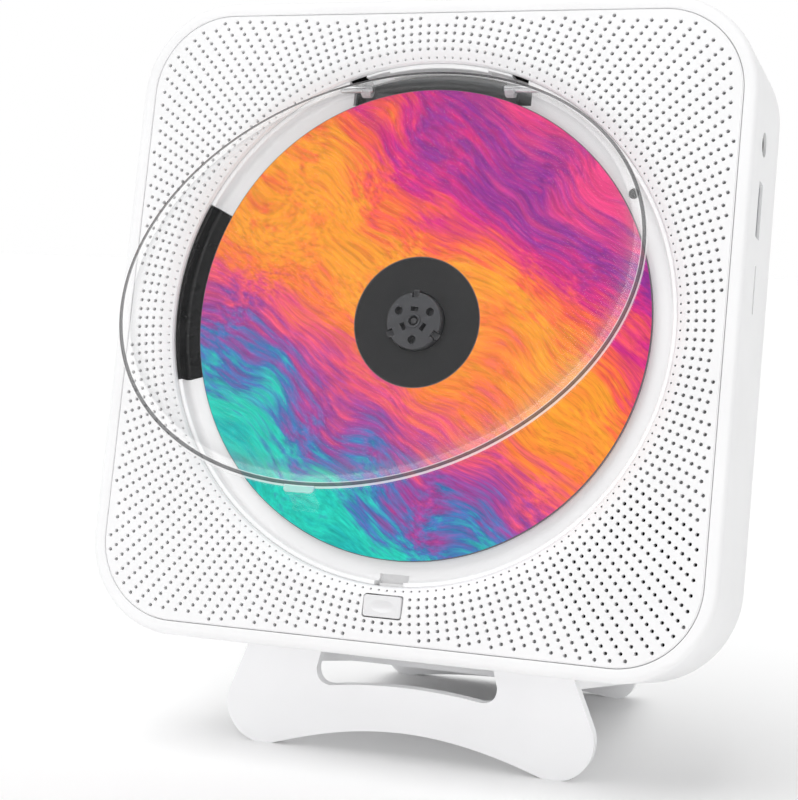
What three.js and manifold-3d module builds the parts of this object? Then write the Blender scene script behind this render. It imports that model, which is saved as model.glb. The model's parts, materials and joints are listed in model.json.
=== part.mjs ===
// Wall mounted disc player, shown on its table stand with the clear lid part open.
// Millimetres, +Z up. The player's own frame has its origin at the middle of the face:
// x to the right as seen, y into the body, z up along the face. The whole player leans back.
import * as THREE from 'three'
import { mergeVertices } from 'three/addons/utils/BufferGeometryUtils.js'
import Module from 'manifold-3d'

const wasm = await Module()
wasm.setup()

// Shared sizes
const fitGap = 0.3
const overrun = 1
const weldDistance = 0.0001
const wideSteps = 60
const ringSteps = 24
const smallSteps = 16
const tinySteps = 8
const cornerSteps = 6
const degree = Math.PI / 180
const quarterTurn = Math.PI / 2

// Solids from three.js geometry, joined and cut by manifold-3d
function solid(geometry) {
  const bare = geometry.index ? geometry.toNonIndexed() : geometry.clone()
  bare.deleteAttribute('normal')
  bare.deleteAttribute('uv')
  const merged = mergeVertices(bare, weldDistance)
  const corners = merged.index.array
  const places = merged.attributes.position
  const [a, b, c] = [new THREE.Vector3(), new THREE.Vector3(), new THREE.Vector3()]
  const kept = []
  let volume = 0
  for (let i = 0; i < corners.length; i += 3) {
    const [p, q, r] = [corners[i], corners[i + 1], corners[i + 2]]
    if (p === q || q === r || r === p) continue
    kept.push(p, q, r)
    a.fromBufferAttribute(places, p)
    b.fromBufferAttribute(places, q)
    c.fromBufferAttribute(places, r)
    volume += a.dot(b.cross(c))
  }
  if (volume < 0) kept.reverse()
  return new wasm.Manifold(new wasm.Mesh({
    numProp: 3,
    vertProperties: new Float32Array(places.array),
    triVerts: new Uint32Array(kept),
  }))
}

function meshGeometry(manifold) {
  const result = manifold.getMesh()
  const geometry = new THREE.BufferGeometry()
  geometry.setAttribute('position', new THREE.BufferAttribute(result.vertProperties, 3))
  geometry.setIndex(new THREE.BufferAttribute(result.triVerts, 1))
  return geometry
}

const joined = (first, ...others) => others.reduce((whole, other) => whole.add(other), first)
const cut = (first, ...others) => others.reduce((whole, other) => whole.subtract(other), first)

// A shape drawn in x and z, drawn out from one depth to another
function prism(shape, front, back, steps = cornerSteps) {
  const options = { depth: back - front, bevelEnabled: false, curveSegments: steps }
  const geometry = new THREE.ExtrudeGeometry(shape, options)
  return solid(geometry.rotateX(quarterTurn).translate(0, back, 0))
}

// A shape drawn in y and z, drawn out to both sides of x = middle
function crossPrism(shape, halfWidth, middle = 0, steps = cornerSteps) {
  const options = { depth: 2 * halfWidth, bevelEnabled: false, curveSegments: steps }
  const geometry = new THREE.ExtrudeGeometry(shape, options).translate(0, 0, -halfWidth)
  return solid(geometry.rotateY(quarterTurn).rotateX(quarterTurn).translate(middle, 0, 0))
}

function block(left, right, front, back, bottom, top) {
  const geometry = new THREE.BoxGeometry(right - left, back - front, top - bottom)
  return solid(geometry.translate((left + right) / 2, (front + back) / 2, (bottom + top) / 2))
}

// Turned about the depth axis through (x, z), from points of radius and depth. A profile that
// starts off the axis is closed back to its first point.
function turned(profile, steps = ringSteps, x = 0, z = 0) {
  const closed = profile[0][0] > 0 ? [...profile, profile[0]] : profile
  const points = closed.map(([radius, depth]) => new THREE.Vector2(radius, depth))
  return solid(new THREE.LatheGeometry(points, steps).translate(x, 0, z))
}

function cylinder(radius, front, back, steps = smallSteps, x = 0, z = 0) {
  return turned([[0, front], [radius, front], [radius, back], [0, back]], steps, x, z)
}

function ring(inner, outer, front, back, steps = smallSteps, x = 0, z = 0) {
  return turned([[inner, front], [outer, front], [outer, back], [inner, back]], steps, x, z)
}

// A round bar along x or z
function barX(radius, left, right, y, z, steps = smallSteps) {
  const geometry = new THREE.CylinderGeometry(radius, radius, right - left, steps)
  return solid(geometry.rotateZ(quarterTurn).translate((left + right) / 2, y, z))
}

function barZ(radius, bottom, top, x, y, steps = smallSteps) {
  const geometry = new THREE.CylinderGeometry(radius, radius, top - bottom, steps)
  return solid(geometry.rotateX(quarterTurn).translate(x, y, (bottom + top) / 2))
}

function roundedRectangle(left, right, bottom, top, corner) {
  const shape = new THREE.Shape()
  shape.moveTo(right - corner, bottom)
  shape.absarc(right - corner, bottom + corner, corner, -quarterTurn, 0)
  shape.absarc(right - corner, top - corner, corner, 0, quarterTurn)
  shape.absarc(left + corner, top - corner, corner, quarterTurn, Math.PI)
  shape.absarc(left + corner, bottom + corner, corner, Math.PI, Math.PI + quarterTurn)
  return shape
}

function centredRectangle(halfWidth, halfHeight, corner) {
  return roundedRectangle(-halfWidth, halfWidth, -halfHeight, halfHeight, corner)
}

// A slab with both its rims rounded over
function roundedSlab(shape, front, back, round, steps) {
  const options = {
    depth: back - front - 2 * round,
    bevelEnabled: true,
    bevelThickness: round,
    bevelSize: round,
    bevelOffset: -round,
    bevelSegments: 2,
    curveSegments: steps,
  }
  const geometry = new THREE.ExtrudeGeometry(shape, options)
  return solid(geometry.rotateX(quarterTurn).translate(0, back - round, 0))
}

// Materials
function material(colour, roughness, metalness = 0, opacity = 1) {
  const transparent = opacity < 1
  return new THREE.MeshStandardMaterial({ color: colour, roughness, metalness, opacity, transparent })
}

const whitePlastic = material('#f2f2f3', 0.45)
const trayPlastic = material('#f6f6f7', 0.35)
const standPlastic = material('#f1f1f4', 0.4)
const clearPlastic = material('#eef3f5', 0.05, 0, 0.3)
const smokedPlastic = material('#202124', 0.2)
const blackPlastic = material('#2a2b2d', 0.5)
const hubPlastic = material('#3a3b3e', 0.45)
const blackRubber = material('#1d1d1f', 0.85)
const boardGreen = material('#2c6b45', 0.6)
const steel = material('#b9bcc0', 0.3, 1)
const zincPlate = material('#c9ccd0', 0.35, 1)
const brightNickel = material('#d6d8da', 0.2, 1)
const paperCone = material('#2f3033', 0.8)
const lensGlass = material('#8fa9c9', 0.05, 0, 0.7)
const discPrint = material('#e0603c', 0.3)

// Groups: the row stands on the floor, and the player leans back in it
const row = new THREE.Group()
const standing = new THREE.Group()
const player = new THREE.Group()
const well = new THREE.Group()
row.add(standing)
standing.add(player)
player.add(well)

function place(parent, name, manifold, look) {
  const mesh = new THREE.Mesh(meshGeometry(manifold), look)
  mesh.name = name
  parent.add(mesh)
  return mesh
}

// Disc and well sizes, measured from the disc's axis
const discRadius = 60
const discHoleRadius = 7.5
const discThickness = 1.2
const discFront = 4.6
const discBack = discFront + discThickness
const discMargin = 5.2
const wellRadius = discRadius + discMargin
const wellWall = 0.9
const wellRimFront = 3.2
const trayFloor = 7
const trayThickness = 1.8
const trayBack = trayFloor + trayThickness
const floorCoveRadius = 1.2

// Body sizes: the face is a dish round the well, and runs past it by a margin on each side
const dishWidth = 5.1
const dishInnerRadius = wellRadius + wellWall + fitGap
const dishOuterRadius = dishInnerRadius + dishWidth
const sideMargin = 10.3
const topMargin = 10.8
const bottomMargin = 12.4
const halfWidth = dishOuterRadius + sideMargin
const halfHeight = dishOuterRadius + (topMargin + bottomMargin) / 2
const discAxisRise = (bottomMargin - topMargin) / 2
const bodyDepth = 36
const bodyCorner = 24.4
const bodyRound = 1.6
const bodyWall = 2.8
const leanAngle = 11 * degree
well.position.z = discAxisRise

// Main housing: rim, four walls and the bosses for the rear screws
const rimWidth = 3.5
const panelSeatDepth = 2.3
const panelSeatWidth = 2
const panelSeatBack = 4.2
const rearSeatDepth = 2.7
const rearSeatWall = 1.8
const bossRadius = 4
const bossRoot = 1
const bossScrewRadius = 1.5
const topBossInset = 11.6
const bottomBossX = 26
const bottomBossInset = 6.2

const insetOutline = (inset) => centredRectangle(halfWidth - inset, halfHeight - inset, bodyCorner - inset)
const rearSeat = bodyDepth - rearSeatDepth
const bossPlaces = [
  [halfWidth - topBossInset, halfHeight - topBossInset],
  [-halfWidth + topBossInset, halfHeight - topBossInset],
  [bottomBossX, -halfHeight + bottomBossInset],
  [-bottomBossX, -halfHeight + bottomBossInset],
]

// Side sockets: places along the right wall
const portDepth = 13.5
const jackDrop = 33.8
const jackHeight = halfHeight - jackDrop
const jackHoleRadius = 3
const usbDrop = 50.1
const usbHeight = halfHeight - usbDrop
const usbHalfLength = 6.9
const usbHalfWidth = 2.7
const cardDrop = 69.3
const cardHeight = halfHeight - cardDrop
const cardDepth = 14.9
const cardHalfLength = 6
const cardHalfWidth = 0.8
const powerHeight = -20
const powerHalfLength = 4.7
const powerHalfWidth = 1.8
const mouthCorner = 0.4
const roundEndShare = 0.98

// A socket's mouth through a side wall; side is 1 on the right and -1 on the left
function sideMouth(halfLength, halfThickness, corner, depth, height, side, reach) {
  const shape = centredRectangle(halfLength, halfThickness, corner)
  const outer = halfWidth + overrun
  const options = { depth: reach + overrun, bevelEnabled: false, curveSegments: cornerSteps }
  const geometry = new THREE.ExtrudeGeometry(shape, options).rotateY(quarterTurn)
  const x = side > 0 ? outer - reach - overrun : -outer
  return solid(geometry.translate(x, depth, height))
}

function mainHousing() {
  const outer = roundedSlab(insetOutline(0), 0, bodyDepth, bodyRound, cornerSteps)
  let body = cut(
    outer,
    prism(insetOutline(rimWidth), -overrun, panelSeatDepth),
    prism(insetOutline(rimWidth + panelSeatWidth), -overrun, panelSeatBack + fitGap),
    prism(insetOutline(bodyWall), panelSeatBack, bodyDepth + overrun),
    prism(insetOutline(rearSeatWall), rearSeat, bodyDepth + overrun),
  )
  const bossSpan = [panelSeatBack - bossRoot, rearSeat]
  const bosses = bossPlaces.map(([x, z]) => cylinder(bossRadius, ...bossSpan, smallSteps, x, z))
  const inside = prism(insetOutline(bodyWall / 2), ...bossSpan)
  body = joined(body, ...bosses.map((boss) => boss.intersect(inside)))
  const drilled = [rearSeat / 2, bodyDepth]
  const drillings = bossPlaces.map(([x, z]) => cylinder(bossScrewRadius, ...drilled, tinySteps, x, z))
  const reach = bodyWall + 2 * overrun
  const jackCorner = jackHoleRadius * roundEndShare
  return cut(
    body,
    ...drillings,
    sideMouth(jackHoleRadius, jackHoleRadius, jackCorner, portDepth, jackHeight, 1, reach),
    sideMouth(usbHalfLength, usbHalfWidth, mouthCorner, portDepth, usbHeight, 1, reach),
    sideMouth(cardHalfLength, cardHalfWidth, mouthCorner, cardDepth, cardHeight, 1, reach),
    sideMouth(powerHalfLength, powerHalfWidth, mouthCorner, portDepth, powerHeight, -1, reach),
  )
}

place(player, 'main_housing', mainHousing(), whitePlastic)

// Grille panel: flat face, dished down to the well, with the holders behind it
const panelThickness = 2
const dishDepth = 2.2
const dishOverlap = 0.6
const dishSteps = 5
const lipThickness = 1.2
const lipBack = 3.8
const trayScrewCircle = dishOuterRadius
const trayScrewAngles = [32, 148, 245, 295].map((angle) => angle * degree)
const trayBossRadius = 3.4
const trayScrewRadius = 0.8
const speakerRadius = 17.2
const speakerAngle = 46 * degree
const speakerCircle = wellRadius + wellWall + fitGap + speakerRadius
const speakerX = speakerCircle * Math.cos(speakerAngle)
const speakerZ = discAxisRise - speakerCircle * Math.sin(speakerAngle)
const speakerSeatWidth = 1.2
const speakerFlange = 1.5

// Open button and latch, in heights from the disc's axis
const buttonOverDish = 3.1
const buttonHeight = 5.9
const buttonTop = buttonOverDish - dishOuterRadius
const buttonBottom = buttonTop - buttonHeight
const buttonHalfWidth = 5.2
const buttonProud = 0.2
const buttonCapBack = 1.6
const buttonTravel = 1.2
const latchTravel = 1

function grillePanel() {
  const plateShape = insetOutline(rimWidth + fitGap)
  const dish = []
  for (let i = 0; i <= dishSteps; i++) {
    const share = i / dishSteps
    const radius = dishOuterRadius + (dishInnerRadius - dishOuterRadius) * share
    dish.push([radius, dishDepth * (1 - Math.cos(share * quarterTurn))])
  }
  const outside = dishOuterRadius + dishOverlap
  const profile = [
    [outside, 0],
    ...dish,
    [dishInnerRadius, lipBack],
    [dishInnerRadius + lipThickness, lipBack],
    [outside, panelThickness],
  ]
  let panel = cut(
    prism(plateShape, 0, panelThickness),
    cylinder(dishOuterRadius, -overrun, panelThickness + overrun, wideSteps, 0, discAxisRise),
  )
  panel = joined(panel, turned(profile, wideSteps, 0, discAxisRise))
  const boreRadius = trayScrewRadius + fitGap
  for (const angle of trayScrewAngles) {
    const x = trayScrewCircle * Math.cos(angle)
    const z = trayScrewCircle * Math.sin(angle) + discAxisRise
    const boss = cylinder(trayBossRadius, panelThickness / 2, trayFloor - fitGap, smallSteps, x, z)
    panel = cut(joined(panel, boss), cylinder(boreRadius, lipThickness, trayFloor, tinySteps, x, z))
  }
  for (const side of [-1, 1]) {
    const seat = [speakerRadius - speakerSeatWidth, speakerRadius, panelThickness / 2, lipBack]
    panel = joined(panel, ring(...seat, ringSteps, side * speakerX, speakerZ))
  }
  const bottom = buttonBottom + discAxisRise
  const top = buttonTop + discAxisRise
  return cut(panel, block(-buttonHalfWidth, buttonHalfWidth, -overrun, lipBack + overrun, bottom, top))
}

place(player, 'grille_panel', grillePanel(), whitePlastic)

// Lid hinge: its axis, measured from the disc's axis
const hingeDepth = 4.2
const lidEarOverhang = 0.5
const recessHalfLength = 24
const hingeInset = 0.72
const hingeRise = Math.sqrt(wellRadius ** 2 - recessHalfLength ** 2) - hingeInset
const hingePinRadius = 1
const hingePinReach = 2.6
const recessHeight = 8.8
const recessBottom = wellRadius - recessHeight
const lidEarInset = 4.7
const lidEarX = recessHalfLength - lidEarInset
const lidEarHalfWidth = 1.2
const lidEarRadius = 2.2
const hingePinInner = lidEarX - lidEarHalfWidth - lidEarOverhang
const hingePinOuter = recessHalfLength + hingePinReach
const wallNotchLength = 10.8
const keptWallHalfLength = recessHalfLength - wallNotchLength
const wallBridgeFront = 7.5
const latchNotchHalfWidth = 3.8
const latchNotchHeight = 1.9
const latchNotchInner = wellRadius - latchNotchHeight

// Drive unit: how the tray opens over it and carries it
const turntableOpening = 19
const pickupSlotHalfWidth = 17
const pickupSlotInset = 1
const pickupSlotEnd = pickupSlotInset - discRadius
const pickupSlotCorner = 13
const slotCorner = 4
const damperX = 32.2
const damperTop = 26
const damperInset = 8
const damperBottom = damperInset - discRadius
const damperPostRadius = 2
const damperPostBack = 13.8
const damperScrewBore = 1.1
const damperPlaces = [
  [0, damperTop],
  [-damperX, damperBottom],
  [damperX, damperBottom],
]

// Display window: a sector of the tray's floor and wall at the left
const windowFrom = 154.4 * degree
const windowTo = 195.9 * degree
const windowInset = 5
const windowInner = discRadius - windowInset
const windowThickness = 1.2
const displayPostRadius = 1.8
const displayPostMargin = 0.4
const displayPostCircle = windowInner - displayPostRadius - displayPostMargin
const displayPosts = [windowFrom, windowTo].map((angle) => [
  displayPostCircle * Math.cos(angle),
  displayPostCircle * Math.sin(angle),
])
const displayPostBack = 12.6
const irInset = 13
const irX = wellRadius - irInset
const irZ = 34.4
const irRadius = 1.2

// A wedge from the disc's axis between two angles, wide enough to cut any ring there
function sector(from, to, front, back) {
  const reach = 2 * wellRadius
  const middle = (from + to) / 2
  const shape = new THREE.Shape()
  shape.moveTo(0, 0)
  shape.lineTo(reach * Math.cos(from), reach * Math.sin(from))
  shape.lineTo(reach * Math.cos(middle), reach * Math.sin(middle))
  shape.lineTo(reach * Math.cos(to), reach * Math.sin(to))
  return prism(shape, front, back)
}

// The well's floor, cove and wall as points of radius and depth
function coveProfile(innerRadius, backDepth) {
  const points = [[innerRadius, trayFloor]]
  const coveSteps = 4
  for (let i = 0; i <= coveSteps; i++) {
    const angle = (quarterTurn * i) / coveSteps
    const radius = wellRadius - floorCoveRadius + floorCoveRadius * Math.sin(angle)
    points.push([radius, trayFloor - floorCoveRadius + floorCoveRadius * Math.cos(angle)])
  }
  const outside = wellRadius + wellWall
  points.push([wellRadius, wellRimFront], [outside, wellRimFront], [outside, backDepth])
  points.push([innerRadius, backDepth])
  return points
}

function discTray() {
  let tray = turned(coveProfile(0, trayBack), wideSteps)
  const lugReach = trayScrewCircle + trayBossRadius
  for (const angle of trayScrewAngles) {
    const x = trayScrewCircle * Math.cos(angle)
    const z = trayScrewCircle * Math.sin(angle)
    const lug = cylinder(trayBossRadius, trayFloor, trayBack, smallSteps, x, z)
    const halfArc = trayBossRadius / trayScrewCircle
    const bridge = ring(wellRadius, trayScrewCircle, trayFloor, trayBack, wideSteps)
    tray = joined(tray, lug, bridge.intersect(sector(angle - halfArc, angle + halfArc, trayFloor, trayBack)))
    const bore = trayScrewRadius + fitGap
    tray = cut(tray, cylinder(bore, trayFloor - overrun, trayBack + overrun, tinySteps, x, z))
  }
  for (const [x, z] of damperPlaces) {
    tray = joined(tray, cylinder(damperPostRadius, trayFloor + overrun, damperPostBack, tinySteps, x, z))
    tray = cut(tray, cylinder(damperScrewBore, trayBack, damperPostBack + overrun, tinySteps, x, z))
  }
  for (const [x, z] of displayPosts) {
    tray = joined(tray, cylinder(displayPostRadius, trayFloor + overrun, displayPostBack, tinySteps, x, z))
  }
  const through = [trayFloor - overrun, trayBack + overrun]
  const slot = roundedRectangle(-pickupSlotHalfWidth, pickupSlotHalfWidth, pickupSlotEnd, 0, pickupSlotCorner)
  const allDepth = [0, trayBack + overrun]
  const notch = [-latchNotchHalfWidth, latchNotchHalfWidth, ...allDepth, -lugReach, -latchNotchInner]
  const recess = block(-recessHalfLength, recessHalfLength, ...allDepth, recessBottom, lugReach)
  const middle = [-keptWallHalfLength, keptWallHalfLength, ...allDepth, recessBottom, lugReach]
  const bridgeDepth = [wallBridgeFront, trayBack + overrun]
  const bridge = [-recessHalfLength, recessHalfLength, ...bridgeDepth, recessBottom, lugReach]
  const wallBand = ring(wellRadius - fitGap, lugReach + overrun, ...allDepth, wideSteps)
  const keptWall = wallBand.intersect(joined(block(...middle), block(...bridge)))
  const windowCut = ring(windowInner, lugReach, ...allDepth, wideSteps)
  const pinBore = hingePinRadius + fitGap
  const pinEnd = hingePinOuter + overrun
  return cut(
    tray,
    cylinder(turntableOpening, ...through, ringSteps),
    prism(slot, ...through),
    windowCut.intersect(sector(windowFrom, windowTo, ...allDepth)),
    block(...notch),
    cut(recess, keptWall),
    barX(pinBore, recessHalfLength - overrun, pinEnd, hingeDepth, hingeRise, tinySteps),
    barX(pinBore, -pinEnd, -recessHalfLength + overrun, hingeDepth, hingeRise, tinySteps),
    cylinder(irRadius + fitGap, ...through, tinySteps, irX, irZ),
  )
}

place(well, 'disc_tray', discTray(), trayPlastic)

// Screws that hold the tray to the panel
const smallHeadRadius = 2.2
const smallHeadThickness = 1.2

function screw(shankRadius, headRadius, tip, headFront, headBack, x, z) {
  const profile = [
    [0, tip],
    [shankRadius, tip],
    [shankRadius, headFront],
    [headRadius, headFront],
    [headRadius, headBack],
    [0, headBack],
  ]
  return turned(profile, tinySteps, x, z)
}

trayScrewAngles.forEach((angle, i) => {
  const x = trayScrewCircle * Math.cos(angle)
  const z = trayScrewCircle * Math.sin(angle)
  const head = trayBack + fitGap
  const tip = panelThickness
  const piece = screw(trayScrewRadius, smallHeadRadius, tip, head, head + smallHeadThickness, x, z)
  place(well, `tray_screw_${i + 1}`, piece, zincPlate)
})

// Display window, digits and board, and the remote receiver
const digitsFront = trayBack + fitGap
const digitsBack = displayPostBack
const digitsOuterInset = 1.7
const digitsInnerInset = 0.5
const digitsLeft = digitsOuterInset - wellRadius
const digitsRight = -windowInner - digitsInnerInset
const digitsBottom = -10
const digitsTop = 20
const displayBoardThickness = 1.4
const displayBoardMargin = 2.5
const displayBoardLeft = digitsLeft - displayBoardMargin
const [[upperPostX, upperPostZ], [, lowerPostZ]] = displayPosts
const displayBoardRight = upperPostX + displayBoardMargin
const displayBoardBottom = lowerPostZ - displayBoardMargin
const displayBoardTop = upperPostZ + displayBoardMargin
const irHousing = 3

const windowGapAngle = fitGap / windowInner
const windowGlass = turned(coveProfile(windowInner + fitGap, trayFloor + windowThickness), wideSteps)
const windowWedge = sector(windowFrom + windowGapAngle, windowTo - windowGapAngle, 0, trayBack)
place(well, 'display_window', windowGlass.intersect(windowWedge), smokedPlastic)

const digitsBlock = block(digitsLeft, digitsRight, digitsFront, digitsBack, digitsBottom, digitsTop)
place(well, 'display_digits', digitsBlock, blackPlastic)

const displayBoardFront = displayPostBack + fitGap
const displayBoardBack = displayBoardFront + displayBoardThickness
const displayBoardSides = [displayBoardLeft, displayBoardRight, displayBoardFront, displayBoardBack]
place(well, 'display_board', block(...displayBoardSides, displayBoardBottom, displayBoardTop), boardGreen)

place(well, 'ir_window', cylinder(irRadius, trayFloor - fitGap, trayBack, tinySteps, irX, irZ), smokedPlastic)

// Compact disc, clamped on the turntable
const discPiece = ring(discHoleRadius, discRadius, discFront, discBack, wideSteps)
place(well, 'compact_disc', discPiece, discPrint)

// Turntable with its centring hub, three chucking claws and its shaft
const platformRadius = 14
const platformFront = discBack + fitGap
const platformThickness = 1.3
const sleeveRadius = 4.5
const sleeveBack = 10.2
const shaftRadius = 1
const shaftFront = 3.6
const shaftBack = 19.8
const hubRadius = 7.2
const hubShoulder = 0.9
const hubTop = 2.4
const hubBossRadius = 2.3
const hubBossTop = 1.9
const hubHoleCircle = 4.5
const hubHoleRadius = 0.9
const hubHoleDepth = 1.6
const clawHalfWidth = 0.9
const clawInner = 4.4
const clawOuter = 8
const clawFront = 2.9
const clawBack = discFront - fitGap
const clawNose = 0.6
const clawTravel = 0.8
const clawAngles = [90, 210, 330].map((angle) => angle * degree)

// Turns a solid's geometry about the depth axis by building it at an angle
function radialBlock(inner, outer, halfThickness, front, back, angle) {
  const shape = new THREE.Shape()
  const along = [Math.cos(angle), Math.sin(angle)]
  const across = [-along[1], along[0]]
  const corner = (radius, offset) => [0, 1].map((i) => along[i] * radius + across[i] * offset)
  shape.moveTo(...corner(inner, -halfThickness))
  shape.lineTo(...corner(outer, -halfThickness))
  shape.lineTo(...corner(outer, halfThickness))
  shape.lineTo(...corner(inner, halfThickness))
  return prism(shape, front, back)
}

function turntable() {
  const profile = [
    [0, hubBossTop],
    [hubBossRadius, hubBossTop],
    [hubBossRadius, hubTop],
    [hubRadius - hubShoulder, hubTop],
    [hubRadius, hubTop + hubShoulder],
    [hubRadius, platformFront],
    [platformRadius, platformFront],
    [platformRadius, platformFront + platformThickness],
    [sleeveRadius, platformFront + platformThickness],
    [sleeveRadius, sleeveBack],
    [shaftRadius + fitGap, sleeveBack],
    [shaftRadius + fitGap, shaftFront - fitGap],
    [0, shaftFront - fitGap],
  ]
  let body = turned(profile, ringSteps)
  const notchInner = clawInner - clawTravel - fitGap
  for (const angle of clawAngles) {
    const notchWidth = clawHalfWidth + fitGap
    const notchDepth = [hubBossTop - overrun, discFront]
    body = cut(body, radialBlock(notchInner, hubRadius + overrun, notchWidth, ...notchDepth, angle))
    const opposite = angle + Math.PI
    const x = hubHoleCircle * Math.cos(opposite)
    const z = hubHoleCircle * Math.sin(opposite)
    body = cut(body, cylinder(hubHoleRadius, hubBossTop, hubTop + hubHoleDepth, tinySteps, x, z))
  }
  return body
}

place(well, 'turntable', turntable(), hubPlastic)
place(well, 'spindle_shaft', cylinder(shaftRadius, shaftFront, shaftBack, tinySteps), steel)

clawAngles.forEach((angle, i) => {
  const body = radialBlock(clawInner, clawOuter - clawNose, clawHalfWidth, clawFront, clawBack, angle)
  const noseDepth = [clawFront + clawNose, clawBack]
  const nose = radialBlock(clawOuter - 2 * clawNose, clawOuter, clawHalfWidth, ...noseDepth, angle)
  place(well, `chucking_claw_${i + 1}`, joined(body, nose), hubPlastic)
})

// Spindle motor under the drive's chassis
const chassisFront = 10.8
const chassisThickness = 2
const chassisBack = chassisFront + chassisThickness
const motorRadius = 10
const motorLength = 7.9
const motorFront = chassisBack + fitGap

function spindleMotor() {
  const can = cylinder(motorRadius, motorFront, motorFront + motorLength, ringSteps)
  return cut(can, cylinder(shaftRadius + fitGap, motorFront - overrun, shaftBack + fitGap, tinySteps))
}

place(well, 'spindle_motor', spindleMotor(), brightNickel)

// Drive chassis: a plate with posts for the two guide rods, the lead screw and its motor
const chassisHalfWidth = 37.5
const chassisTop = 32
const chassisMargin = 8
const chassisBottom = -discRadius - chassisMargin
const chassisCorner = 4
const rodX = 21.5
const rodDepth = 17.6
const rodRadius = 1.5
const rodPostHalfWidth = 2.6
const rodPostBack = 20.2
const rodPostThickness = 2.5
const rodTop = -9
const rodInset = 1
const rodBottom = chassisBottom + rodInset
const screwX = 28.4
const leadScrewRadius = 1.4
const sledMotorRadius = 4.5
const sledMotorLength = 13
const sledMotorPlate = 1.8
const motorPlateTop = -7.6
const damperWaistRadius = 3.2
const damperFlangeRadius = 4.2
const damperFront = trayBack + fitGap
const damperBack = 14.1
const damperFlange = 1.4
const damperHeadRadius = 3
const pickupOpeningHalfWidth = 16
const pickupOpeningTop = -12
const sledCentre = -22.5
const innermostTrack = 26
const sledTravel = discRadius - innermostTrack
const towerHalfWidth = 5.5
const towerClearance = 0.5
const lensDrop = 1
const pickupOpeningBottom = sledCentre - lensDrop - sledTravel - towerHalfWidth - towerClearance

function rodPost(x, top, bore) {
  const [left, right] = [x - rodPostHalfWidth, x + rodPostHalfWidth]
  const post = block(left, right, chassisBack - overrun, rodPostBack, top - rodPostThickness, top)
  return cut(post, barZ(bore, top - rodPostThickness - overrun, top + overrun, x, rodDepth, tinySteps))
}

function driveChassis() {
  const sides = [-chassisHalfWidth, chassisHalfWidth, chassisBottom, chassisTop]
  const outline = roundedRectangle(...sides, chassisCorner)
  const openingHalfWidth = pickupOpeningHalfWidth
  const openingSides = [-openingHalfWidth, openingHalfWidth, pickupOpeningBottom, pickupOpeningTop]
  const opening = roundedRectangle(...openingSides, slotCorner)
  const through = [chassisFront - overrun, chassisBack + overrun]
  const plate = cut(
    prism(outline, chassisFront, chassisBack),
    prism(opening, ...through),
    cylinder(shaftRadius + overrun, ...through, tinySteps),
    ...damperPlaces.map(([x, z]) => cylinder(damperWaistRadius + fitGap, ...through, smallSteps, x, z)),
  )
  const rodBore = rodRadius + fitGap
  const lowerTop = rodBottom + rodPostThickness
  const motorPlate = block(
    screwX - rodPostHalfWidth,
    screwX + sledMotorRadius,
    chassisBack - overrun,
    rodPostBack,
    motorPlateTop - sledMotorPlate,
    motorPlateTop,
  )
  const holeSpan = [motorPlateTop - 2 * sledMotorPlate, motorPlateTop + overrun]
  const screwHole = barZ(leadScrewRadius + fitGap, ...holeSpan, screwX, rodDepth)
  return joined(
    plate,
    rodPost(rodX, rodTop, rodBore),
    rodPost(-rodX, rodTop, rodBore),
    rodPost(rodX, lowerTop, rodBore),
    rodPost(-rodX, lowerTop, rodBore),
    rodPost(screwX, lowerTop, leadScrewRadius + fitGap),
    cut(motorPlate, screwHole),
  )
}

place(well, 'drive_chassis', driveChassis(), blackPlastic)

place(well, 'guide_rod_left', barZ(rodRadius, rodBottom, rodTop, -rodX, rodDepth, tinySteps), steel)
place(well, 'guide_rod_right', barZ(rodRadius, rodBottom, rodTop, rodX, rodDepth, tinySteps), steel)

// Rubber dampers on the tray's posts, and the screws that keep them on
damperPlaces.forEach(([x, z], i) => {
  const bore = damperPostRadius + fitGap
  const profile = [
    [bore, damperFront],
    [damperFlangeRadius, damperFront],
    [damperFlangeRadius, damperFront + damperFlange],
    [damperWaistRadius, damperFront + damperFlange],
    [damperWaistRadius, chassisBack + fitGap],
    [damperFlangeRadius, chassisBack + fitGap],
    [damperFlangeRadius, damperBack],
    [bore, damperBack],
  ]
  place(well, `damper_${i + 1}`, turned(profile, smallSteps, x, z), blackRubber)
  const head = damperBack + fitGap
  const tip = trayBack + fitGap
  const piece = screw(trayScrewRadius, damperHeadRadius, tip, head, head + smallHeadThickness, x, z)
  place(well, `damper_screw_${i + 1}`, piece, zincPlate)
})

// Laser pickup on its sled, moved by a lead screw
const sledHalfLength = 6.5
const sledHalfWidth = 18
const sledFront = 14.6
const sledBack = 20.2
const earHalfLength = 5
const earOuter = 24.6
const nutHalfLength = 2.5
const nutHalfThickness = 1.6
const towerFront = 9.6
const lensRadius = 2.5
const lensFront = 9.1
const lensBack = 12

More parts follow.
